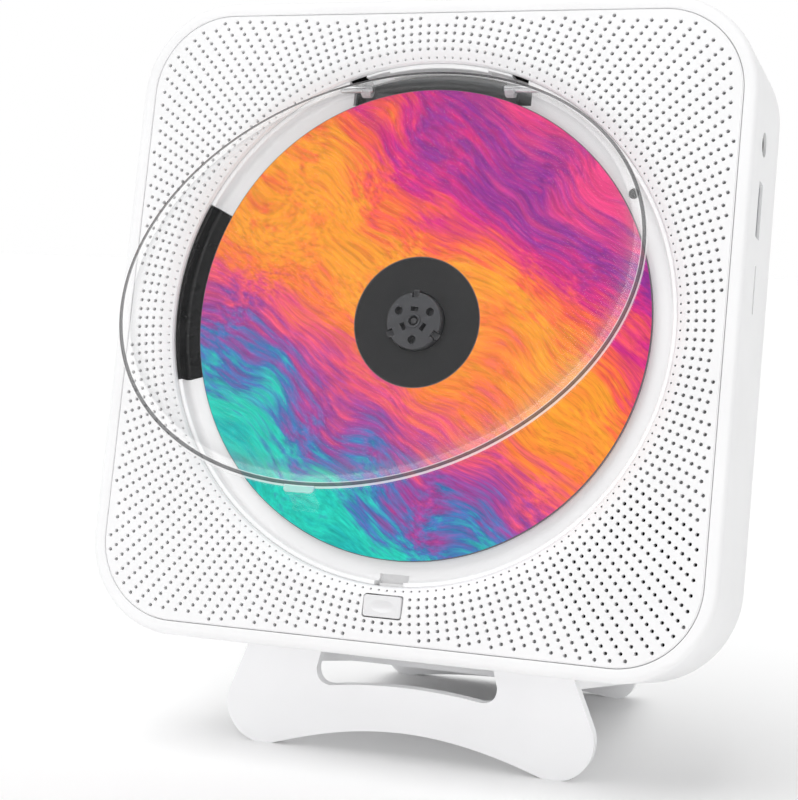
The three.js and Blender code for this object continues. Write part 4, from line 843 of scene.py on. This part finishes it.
def disc_tray():
    floor_front = TRAY_FLOOR - OVERRUN
    section = [(WINDOW_INNER, 0), (CUT_OUTER, 0), (CUT_OUTER, CUT_BACK), (WINDOW_INNER, CUT_BACK)]
    tray = carved(
        turned("well_tray", cove_profile(0, TRAY_BACK), 2 * ROUND_STEPS),
        turned("window_cut", section, RING_STEPS, start=WINDOW_FROM, end=WINDOW_TO),
        prism("slot_cut", rounded_outline(*PICKUP_SLOT), floor_front, CUT_BACK),
        plug("turntable_cut", TURNTABLE_OPENING, 0, CUT_BACK, steps=RING_STEPS),
        hinge_recess(),
        block("notch_cut", *LATCH_NOTCH),
        plug("ir_cut", IR_RADIUS + WINDOW_GAP / 2, floor_front, CUT_BACK, *IR_PLACE),
    )
    dressed(tray, "tray_white", ["disc_tray"])


disc_tray()

gap_angle = degrees(WINDOW_GAP / WELL_RADIUS)
angles = {"start": WINDOW_FROM + gap_angle, "end": WINDOW_TO - gap_angle}
window = turned("display_glass", cove_profile(WINDOW_INNER + WINDOW_GAP, WINDOW_BACK), RING_STEPS, **angles)
dressed(window, "smoked_plastic", ["display_window"])

ir_glass = edged_plug("ir_glass", IR_RADIUS, TRAY_FLOOR - WINDOW_GAP, TRAY_BACK, RIM_EDGE, *IR_PLACE)
dressed(ir_glass, "smoked_plastic", ["ir_window"])

# Disc, its edges lightly broken
DISC_HOLE = 7.5
DISC_BACK = 5.8
DISC_EDGE = 0.12
disc_section = [
    (DISC_HOLE, DISC_FRONT + DISC_EDGE), (DISC_HOLE + DISC_EDGE, DISC_FRONT),
    (DISC_RADIUS - DISC_EDGE, DISC_FRONT), (DISC_RADIUS, DISC_FRONT + DISC_EDGE),
    (DISC_RADIUS, DISC_BACK - DISC_EDGE), (DISC_RADIUS - DISC_EDGE, DISC_BACK),
    (DISC_HOLE + DISC_EDGE, DISC_BACK), (DISC_HOLE, DISC_BACK - DISC_EDGE),
]
disc = turned("printed_disc", disc_section, 2 * ROUND_STEPS)
dressed(disc, "disc_print", ["compact_disc"], "turntable")

# Turntable and hub
HUB_RADIUS = 7.2
HUB_ROOF_RADIUS = 7.1
HUB_ROOF_BACK = 2.8
HUB_EDGE = 0.12
HUB_TOP = 2.4
BOSS_RADIUS = 1.85
BOSS_TOP = 2.1
BOSS_BORE = 1.25
PLATFORM_RADIUS = 14
PLATFORM_FRONT = 6.1
PLATFORM_BACK = 7.4
SLEEVE_RADIUS = 4.5
SLEEVE_BACK = 10.2
HOLE_CIRCLE = 4.8
HUB_HOLE_RADIUS = 1.05
HUB_HOLE_DEPTH = 2.6
# Inner and outer end and half width, and for the claw its front and back too
RIM_NOTCH = (5.9, 8.2, 0.95)
SLIT = (2.45, 3.6, 1.0)
CLAW_CHANNEL = (3.3, 8.2, 1.2)
CLAW = (4.4, 8, 0.9, 2.9, 4.3)
CLAW_ROUND = 0.35
CLAW_ROUND_STEPS = 4
CLAW_ANGLES = [90, 210, 330]
SHAFT_RADIUS = 1
SHAFT_FRONT = 2.6
SHAFT_BACK = 19.8
SHAFT_EDGE = 0.25
SHAFT_HOLE_FRONT = 3.3


def radial_block(name, inner, outer, half_width, front, back, angle):
    """A block along a spoke at that angle, in degrees."""
    made = block(name, inner, outer, front, back, -half_width, half_width)
    made.data.transform(Matrix.Rotation(-radians(angle), 4, "Y"))
    return made


def hub():
    edge = HUB_EDGE
    section = [
        (0, SHAFT_HOLE_FRONT), (BOSS_BORE, SHAFT_HOLE_FRONT),
        (BOSS_BORE, BOSS_TOP + edge), (BOSS_BORE + edge, BOSS_TOP),
        (BOSS_RADIUS - edge, BOSS_TOP), (BOSS_RADIUS, BOSS_TOP + edge),
        (BOSS_RADIUS, HUB_TOP), (HUB_ROOF_RADIUS - edge, HUB_TOP),
        (HUB_ROOF_RADIUS, HUB_TOP + edge), (HUB_ROOF_RADIUS, HUB_ROOF_BACK),
        (HUB_RADIUS - edge, HUB_ROOF_BACK), (HUB_RADIUS, HUB_ROOF_BACK + edge),
        (HUB_RADIUS, PLATFORM_FRONT), (PLATFORM_RADIUS, PLATFORM_FRONT),
        (PLATFORM_RADIUS, PLATFORM_BACK), (SLEEVE_RADIUS, PLATFORM_BACK),
        (SLEEVE_RADIUS, SLEEVE_BACK), (0, SLEEVE_BACK),
    ]
    made = turned("hub_body", section, RING_STEPS)
    cutters = []
    front = BOSS_TOP - OVERRUN
    floor = HUB_TOP + HUB_HOLE_DEPTH
    for angle in CLAW_ANGLES:
        place = polar(HOLE_CIRCLE, radians(angle + 180))
        cutters += [
            radial_block(f"channel_{angle}", *CLAW_CHANNEL, HUB_ROOF_BACK, DISC_FRONT, angle),
            radial_block(f"notch_{angle}", *RIM_NOTCH, front, HUB_ROOF_BACK + edge, angle),
            radial_block(f"slit_{angle}", *SLIT, front, floor, angle),
            plug(f"hole_{angle}", HUB_HOLE_RADIUS, front, floor, *place, steps=CORNER_STEPS),
        ]
    dressed(carved(made, *cutters), "hub_plastic", ["turntable"], "turntable")


hub()
shaft = edged_plug("shaft_pin", SHAFT_RADIUS, SHAFT_FRONT, SHAFT_BACK, SHAFT_EDGE)
dressed(shaft, "steel", ["spindle_shaft"], "turntable", material=dark_steel)

for number, angle in enumerate(CLAW_ANGLES, 1):
    claw = bevelled(radial_block(f"claw_tip_{number}", *CLAW, angle), CLAW_ROUND, CLAW_ROUND_STEPS)
    dressed(claw, "hub_plastic", [f"chucking_claw_{number}"], f"claw_{number}", material=claw_grey)

# Clear lid: a shallow dome with a turned rim, drawn closed and carried to where it stands open
LID_FACE = 0.2
LID_THICKNESS = 1.4
LID_RIM_FRONT = 1.7
LID_EDGE = 0.4
SHOULDER_SHARES = [(0, 0), (0.18, 0.02), (0.35, 0.1), (0.5, 0.25), (0.65, 0.47), (0.76, 0.69)]
SHOULDER_SHARES += [(0.86, 0.87), (0.94, 0.97), (1, 1)]
TAB = (-3.5, 3.5, -65.4, -62, 0.8)
HOOK = (-2.8, 2.8, 2.9, 8.4, -65.2, -64)
BARB = (-2.8, 2.8, 7.4, 8.4, -66.1, -64)
EAR_X = 19.3
EAR_HALF_WIDTH = 1.2
EAR_RADIUS = 2.2
PIN_X = 22.1
PIN_HALF_LENGTH = 4.5
HINGE_CHAMFER = 0.2


def lid_shoulder(front, back):
    """(radius, depth) of the dome's bend between its flat and its rim."""
    reach = LID_RIM_INNER - LID_FLAT_RADIUS
    return [(LID_FLAT_RADIUS + reach * out, front + (back - front) * down) for out, down in SHOULDER_SHARES]


def lid_rim():
    """The rounded rim of the lid, from its front to its back."""
    points = arc(LID_RADIUS - LID_EDGE, LID_RIM_FRONT + LID_EDGE, LID_EDGE, -90, 0, EDGE_STEPS)
    return points + [(radius, LID_RIM_FRONT + LID_RIM_BACK - depth) for radius, depth in reversed(points)]


def hinge_bar(name, radius, middle, half_length, chamfer=0.0):
    """A round bar on the hinge's axis."""
    return bar(name, radius, middle - half_length, middle + half_length, hinge.y, hinge.z, chamfer)


def dust_cover():
    lid_back = LID_FACE + LID_THICKNESS
    section = [
        (0, LID_FACE),
        *lid_shoulder(LID_FACE, LID_RIM_FRONT),
        *lid_rim(),
        *reversed(lid_shoulder(lid_back, LID_RIM_BACK)),
        (0, lid_back),
    ]
    lid = turned("clear_cover", section, 2 * ROUND_STEPS)
    additions = [
        prism("tab", rounded_outline(*TAB, LITTLE_CORNER_STEPS), LID_RIM_FRONT, LID_RIM_BACK),
        united(block("hook", *HOOK), block("barb", *BARB)),
    ]
    bores = []
    bore = PIN_RADIUS + WINDOW_GAP / 2
    for side, sign in SIDES:
        additions.append(hinge_bar(f"ear_{side}", EAR_RADIUS, sign * EAR_X, EAR_HALF_WIDTH, HINGE_CHAMFER))
        bores.append(hinge_bar(f"bore_{side}", bore, sign * EAR_X, EAR_HALF_WIDTH + OVERRUN))
    lid = carved(united(lid, *additions), *bores)
    dressed(lid, "clear_plastic", ["dust_cover"], "lid", LID)


dust_cover()

for side, sign in SIDES:
    pin = hinge_bar(f"pivot_{side}", PIN_RADIUS, sign * PIN_X, PIN_HALF_LENGTH, HINGE_CHAMFER)
    dressed(pin, "steel", [f"hinge_pin_{side}"])
frame["nodes"]["hinge_trough"].data.materials[0] = trough_plastic
frame["nodes"]["drive_chassis"].data.materials[0] = slot_materials["tray_white"]
frame["nodes"]["lid_spring"].data.materials[0] = dark_steel

# Open button: a cap with a shallow oval dimple
CAP_GAP = 0.3
CAP_PROUD = 0.2
CAP_BACK = 1.6
CAP_ROUND = 0.3
CAP_ROUND_STEPS = 4
DIMPLE_HALF_WIDTH = 3.2
DIMPLE_HALF_HEIGHT = 1.5
DIMPLE_DEPTH = 0.7
DIMPLE_RINGS = 8
STEM_HALF_WIDTH = 1.5
STEM_SECTION = [(1.4, -70.8), (9.3, -70.8), (9.3, -71.6), (5.2, -71.6), (4.2, -72.6), (1.4, -72.6)]


def open_button():
    left, right = CAP_GAP - BUTTON_HALF_WIDTH, BUTTON_HALF_WIDTH - CAP_GAP
    bottom, top = BUTTON_BOTTOM + CAP_GAP, BUTTON_TOP - CAP_GAP
    middle = (bottom + top) / 2

    def outline(inset):
        sides = (left + inset, right - inset, bottom + inset, top - inset)
        return rounded_outline(*sides, BUTTON_CORNER - inset / 2, LITTLE_CORNER_STEPS)

    rings = [[(x, CAP_BACK, z) for x, z in outline(0)]]
    for inset, depth in reversed(quarter_round(CAP_ROUND, CAP_ROUND_STEPS)):
        rings.append([(x, depth - CAP_PROUD, z) for x, z in outline(inset)])
    count = len(outline(0))
    oval = []
    for i in range(count):
        angle = tau * (i + 0.5) / count - pi / 2
        oval.append((DIMPLE_HALF_WIDTH * cos(angle), middle + DIMPLE_HALF_HEIGHT * sin(angle)))
    for i in range(DIMPLE_RINGS):
        share = 1 - i / DIMPLE_RINGS
        depth = DIMPLE_DEPTH * (1 - share ** 2) - CAP_PROUD
        rings.append([(x * share, depth, middle + (z - middle) * share) for x, z in oval])
    cap = loft("button_cap", rings)
    stem = side_prism("button_stem", STEM_SECTION, 0, STEM_HALF_WIDTH)
    # The cap wears the darker copy of the tray's white, as painted shade.
    dressed(united(cap, stem), "tray_white", ["open_button"], "button", crease=24, material=button_white_with_painted_shade)


open_button()

# Table stand, in heights from the floor: two lobed plates, a web, a leaning tongue and its gussets
LEAN = atan2(-inward.z, inward.y)
STAND_FRONT = 4.9
STAND_THICKNESS = 3
STAND_HEIGHT = 26.2
STAND_HALF_WIDTH = 44
STAND_REAR = 96.9
FOOT_SINK = 0.3
FOOT_TUCK = 18
FRONT_LOBE = (39.4, 10.4, 6.9)
REAR_LOBE = (32.7, 6.2, 2.3)
ARCH_REACH = 10
ARCH_STEPS = 48
CUTOUT_TOP = (23, 27.2)
CUTOUT_LEFT = [(-24.5, 21.5), (-24.5, 17.2), (-20.3, 17.2)]
CUTOUT_FLOOR = [(-20.3, 17.2), (0, 20.2), (20.3, 17.2)]
WEB_OPENING = (-24.5, 24.5, 3.9, 31, 3)
TONGUE_HALF_WIDTH = 20
TONGUE_TOP = 42
TONGUE_CORNER = 8
TONGUE_FRONT = 36.3
GUSSET_X = 16
GUSSET_HALF_WIDTH = 1.2
GUSSET_REACH = 36
GUSSET_RISE = 62
STAND_BEVEL = 0.45
STAND_DROP = HALF_HEIGHT + 0.3


def bezier(points, steps):
    """Points of a Bezier curve of any degree, without the last one."""
    found = []
    for i in range(steps):
        t = i / steps
        row = [Vector(point) for point in points]
        while len(row) > 1:
            row = [a.lerp(b, t) for a, b in zip(row, row[1:])]
        found.append(tuple(row[0]))
    return found


def lobed_outline(lobe, top_half_width, top):
    lobe_x, radius, arch_rise = lobe
    middle = radius - FOOT_SINK
    over, up = top_half_width - lobe_x, top - middle
    side_angle = degrees(atan2(up, over) - acos(radius / hypot(over, up)))
    tuck = radians(FOOT_TUCK)
    start = (lobe_x - radius * sin(tuck), middle - radius * cos(tuck))
    control = (4 * arch_rise - start[1]) / 3
    points = arc(lobe_x, middle, radius, -90 - FOOT_TUCK, side_angle, SMALL_STEPS)
    points += [(top_half_width, top), (-top_half_width, top)]
    points += arc(-lobe_x, middle, radius, 180 - side_angle, 270 + FOOT_TUCK, SMALL_STEPS)
    arch = [(-start[0], start[1]), (-ARCH_REACH, control), (ARCH_REACH, control), start]
    return points + bezier(arch, ARCH_STEPS)[1:]


def web_top(y):
    return STAND_HEIGHT - (y - STAND_FRONT) * tan(LEAN)


def cutout_outline():
    x, top = CUTOUT_TOP
    right = [(-x, z) for x, z in reversed(CUTOUT_LEFT)]
    curves = [bezier(curve, CORNER_STEPS) for curve in (CUTOUT_LEFT, CUTOUT_FLOOR, right)]
    return [(-x, top), *curves[0], *curves[1], *curves[2], right[-1], (x, top)]


def leaned(piece):
    """Carries a piece from the face's frame to the stand's."""
    piece.data.transform(STAND.inverted() @ FACE)
    return piece


def table_stand():
    front_back = STAND_FRONT + STAND_THICKNESS
    rear_end = STAND_REAR + STAND_THICKNESS
    rear_half_width = REAR_LOBE[0] + REAR_LOBE[1]
    front_outline = lobed_outline(FRONT_LOBE, STAND_HALF_WIDTH, STAND_HEIGHT)
    rear_outline = lobed_outline(REAR_LOBE, rear_half_width, web_top(STAND_REAR))
    plan = [
        (-STAND_HALF_WIDTH, STAND_FRONT), (STAND_HALF_WIDTH, STAND_FRONT),
        (rear_half_width, rear_end), (-rear_half_width, rear_end),
    ]
    drop = STAND_THICKNESS / cos(LEAN)
    web = loft("stand_web", [[(x, y, web_top(y) - fall) for x, y in plan] for fall in (drop, 0)])
    opening = rounded_outline(*WEB_OPENING, LITTLE_CORNER_STEPS)
    web = carved(web, loft("web_cut", [[(x, y, z) for x, y in opening] for z in (0, STAND_HEIGHT)]))
    tongue_bottom = -STAND_DROP - STAND_THICKNESS / 2
    tongue_back = TONGUE_FRONT + STAND_THICKNESS
    rounded = arc(TONGUE_HALF_WIDTH - TONGUE_CORNER, TONGUE_TOP - TONGUE_CORNER, TONGUE_CORNER, 0, 90)
    tongue = [(-TONGUE_HALF_WIDTH, tongue_bottom), (TONGUE_HALF_WIDTH, tongue_bottom), *rounded]
    tongue += [(-x, z) for x, z in reversed(rounded)]
    gusset = [
        (tongue_back - OVERRUN, tongue_bottom), (tongue_back + GUSSET_REACH, tongue_bottom),
        (tongue_back, GUSSET_RISE - STAND_DROP), (tongue_back - OVERRUN, GUSSET_RISE - STAND_DROP),
    ]
    stand = united(
        prism("stand_front", front_outline, STAND_FRONT, front_back),
        prism("stand_rear", rear_outline, STAND_REAR, rear_end),
        web,
        leaned(prism("stand_tongue", tongue, TONGUE_FRONT, tongue_back)),
        leaned(side_prism("gusset_left", gusset, -GUSSET_X, GUSSET_HALF_WIDTH)),
        leaned(side_prism("gusset_right", gusset, GUSSET_X, GUSSET_HALF_WIDTH)),
    )
    stand = carved(stand, prism("cutout", cutout_outline(), STAND_FRONT - OVERRUN, front_back + OVERRUN))
    for vertex in stand.data.vertices:
        vertex.co.z = max(vertex.co.z, 0)
    stand = bevelled(stand, STAND_BEVEL)
    dressed(stand, "stand_white", ["table_stand"], "stand", STAND, crease=35)


table_stand()

# Rear cover with its keyhole, and the rear screws with their cross recesses
COVER_INSET = 2.1
COVER_FRONT = 33.6
COVER_BACK = 35.8
COVER_ROUND = 0.3
KEYHOLE_SLOT = (-2.1, 2.1, 21.5, 33.6, 2.058)
KEYHOLE_CORNER_STEPS = 12
KEYHOLE_ENTRY = 4
SCREW_HEAD = 3
SCREW_HEAD_DEPTH = 1.3
SCREW_EDGE = 0.3
SCREW_SHANK = 1.2
SCREW_LENGTH = 9
COUNTERBORE = 3.3
REAR_SCREWS = [(70.2, 71.5), (-70.2, 71.5), (26, -76.9), (-26, -76.9)]
CROSS_HALF_SIZES = (1.7, 0.4)
CROSS_DEPTH = 0.9


def rear_cover():
    edge = reversed(quarter_round(COVER_ROUND, LITTLE_EDGE_STEPS))
    edge = [(COVER_INSET + inset, COVER_BACK - depth) for inset, depth in edge]
    section = [(COVER_INSET, COVER_FRONT), *edge]
    rings = [[(x, depth, z + FACE_DROP) for x, z in face_outline(inset)] for inset, depth in section]
    through = (COVER_FRONT - OVERRUN, COVER_BACK + OVERRUN)
    cutters = [
        prism("keyhole_slot", rounded_outline(*KEYHOLE_SLOT, KEYHOLE_CORNER_STEPS), *through),
        plug("keyhole_entry", KEYHOLE_ENTRY, *through, 0, KEYHOLE_SLOT[2]),
    ]
    head_front = COVER_BACK - SCREW_HEAD_DEPTH - COVER_ROUND
    for number, (x, z) in enumerate(REAR_SCREWS):
        cutters.append(plug(f"counterbore_{number}", COUNTERBORE, head_front, through[1], x, z))
    cover = carved(loft("back_cover", rings), *cutters)
    dressed(cover, "housing_white", ["rear_cover"], matrix=FACE)


def rear_screw(number, x, z):
    edge = SCREW_EDGE
    head_front = COVER_BACK - SCREW_HEAD_DEPTH
    tip = COVER_BACK - SCREW_LENGTH
    section = [
        (0, tip), (SCREW_SHANK, tip + SCREW_SHANK),
        (SCREW_SHANK, head_front), (SCREW_HEAD, head_front),
        (SCREW_HEAD, COVER_BACK - edge * 2), (SCREW_HEAD - edge, COVER_BACK - edge / 2),
        (SCREW_HEAD - 3 * edge, COVER_BACK), (0, COVER_BACK),
    ]
    screw = turned(f"cross_screw_{number}", section, SMALL_STEPS, x, z)
    depth = (COVER_BACK - CROSS_DEPTH, COVER_BACK + OVERRUN)
    long, short = CROSS_HALF_SIZES
    screw = carved(
        screw,
        block("cross_a", x - long, x + long, *depth, z - short, z + short),
        block("cross_b", x - short, x + short, *depth, z - long, z + long),
    )
    dressed(screw, "zinc_plate", [f"rear_screw_{number}"], matrix=FACE)


rear_cover()
for number, (x, z) in enumerate(REAR_SCREWS, 1):
    rear_screw(number, x, z)

# Audio jack: a black body with a round nose and a bore
JACK_BODY = (66, 78.7, 10.3, 16.7, 45.3, 51.7)
JACK_NOSE = (77.7, 81.2, PORT_DEPTH, JACK_RISE)
JACK_BORE = (67.75, 82.2, PORT_DEPTH, JACK_RISE)
JACK_RADIUS = 2.6
JACK_CHAMFER = 0.25
JACK_BORE_RADIUS = 1.75


def audio_jack():
    body = block("jack_body", *JACK_BODY)
    nose = bar("jack_nose", JACK_RADIUS, *JACK_NOSE, JACK_CHAMFER)
    bore = bar("jack_bore", JACK_BORE_RADIUS, *JACK_BORE)
    dressed(carved(united(body, nose), bore), "black_plastic", ["audio_jack"])


audio_jack()

# Floor, light and camera
FLOOR_HALF_WIDTH = 40.0
floor = mesh_object("floor", [(-1, -1, 0), (1, -1, 0), (1, 1, 0), (-1, 1, 0)], [(0, 1, 2, 3)])
floor.data.transform(Matrix.Scale(FLOOR_HALF_WIDTH, 4))
material, tree, shader = new_material("pale_floor")
tone = spread(tree, noise(tree, millimetres(tree), 400), 0, 1)
base = mixed(tree, tone, (0.97, 0.97, 0.97, 1), (0.98, 0.98, 0.98, 1))
feed(tree, shader, {"Base Color": base, "Roughness": 0.9, "Specular IOR Level": 0.1})
floor.data.materials.append(material)

BACKDROP_LIGHT = 1.0
FRONT_LIGHT = 0.36
BACKDROP_FADE = (0.2, 0.6)
SKYLINE_FADE = (0.1, 0.3)
world = bpy.data.worlds.new("studio")
world.use_nodes = True
tree = world.node_tree
direction = node(tree, "ShaderNodeTexCoord").outputs["Generated"]
heading = node(tree, "ShaderNodeSeparateXYZ", {"Vector": direction}).outputs
room = spread(tree, heading["Y"], FRONT_LIGHT, BACKDROP_LIGHT, *BACKDROP_FADE)
skyline = spread(tree, heading["Z"], BACKDROP_LIGHT, 0, *SKYLINE_FADE)
strength = arithmetic(tree, "MAXIMUM", room, skyline)
feed(tree, tree.nodes["Background"], {"Color": (1, 1, 1, 1), "Strength": strength})
scene.world = world
scene.view_settings.view_transform = "Standard"


def sun_light(name, direction, angle, strength):
    """Soft light from a broad patch of sky, aimed along a direction."""
    data = bpy.data.lights.new(name, "SUN")
    data.angle = radians(angle)
    data.energy = strength
    lamp = bpy.data.objects.new(name, data)
    lamp.rotation_mode = "QUATERNION"
    lamp.rotation_quaternion = Vector(direction).to_track_quat("-Z", "Y")
    scene.collection.objects.link(lamp)


sun_light("front", (-0.35, 0.9, -0.25), 40, 0.6)
sun_light("top", (0.3, 0.35, -1.0), 55, 1.6)

# The camera was solved from the disc's ellipse, the lid's rim and the outline of the face
CAMERA_PLACE = Vector((0.1558, -0.44249, 0.12725))
CAMERA_VIEW = Vector((-0.34666, 0.9349, -0.0761)).normalized()
CAMERA_UP = Vector((-0.05573, 0.06046, 0.99661))
lens = bpy.data.cameras.new("camera")
lens.lens = 82.17
lens.sensor_width = 36
lens.clip_start = 0.01
lens.clip_end = 100
camera = bpy.data.objects.new("camera", lens)
right = CAMERA_VIEW.cross(CAMERA_UP).normalized()
camera.matrix_world = frame_matrix(CAMERA_PLACE, right, right.cross(CAMERA_VIEW), -CAMERA_VIEW, 1)
scene.collection.objects.link(camera)
scene.camera = camera
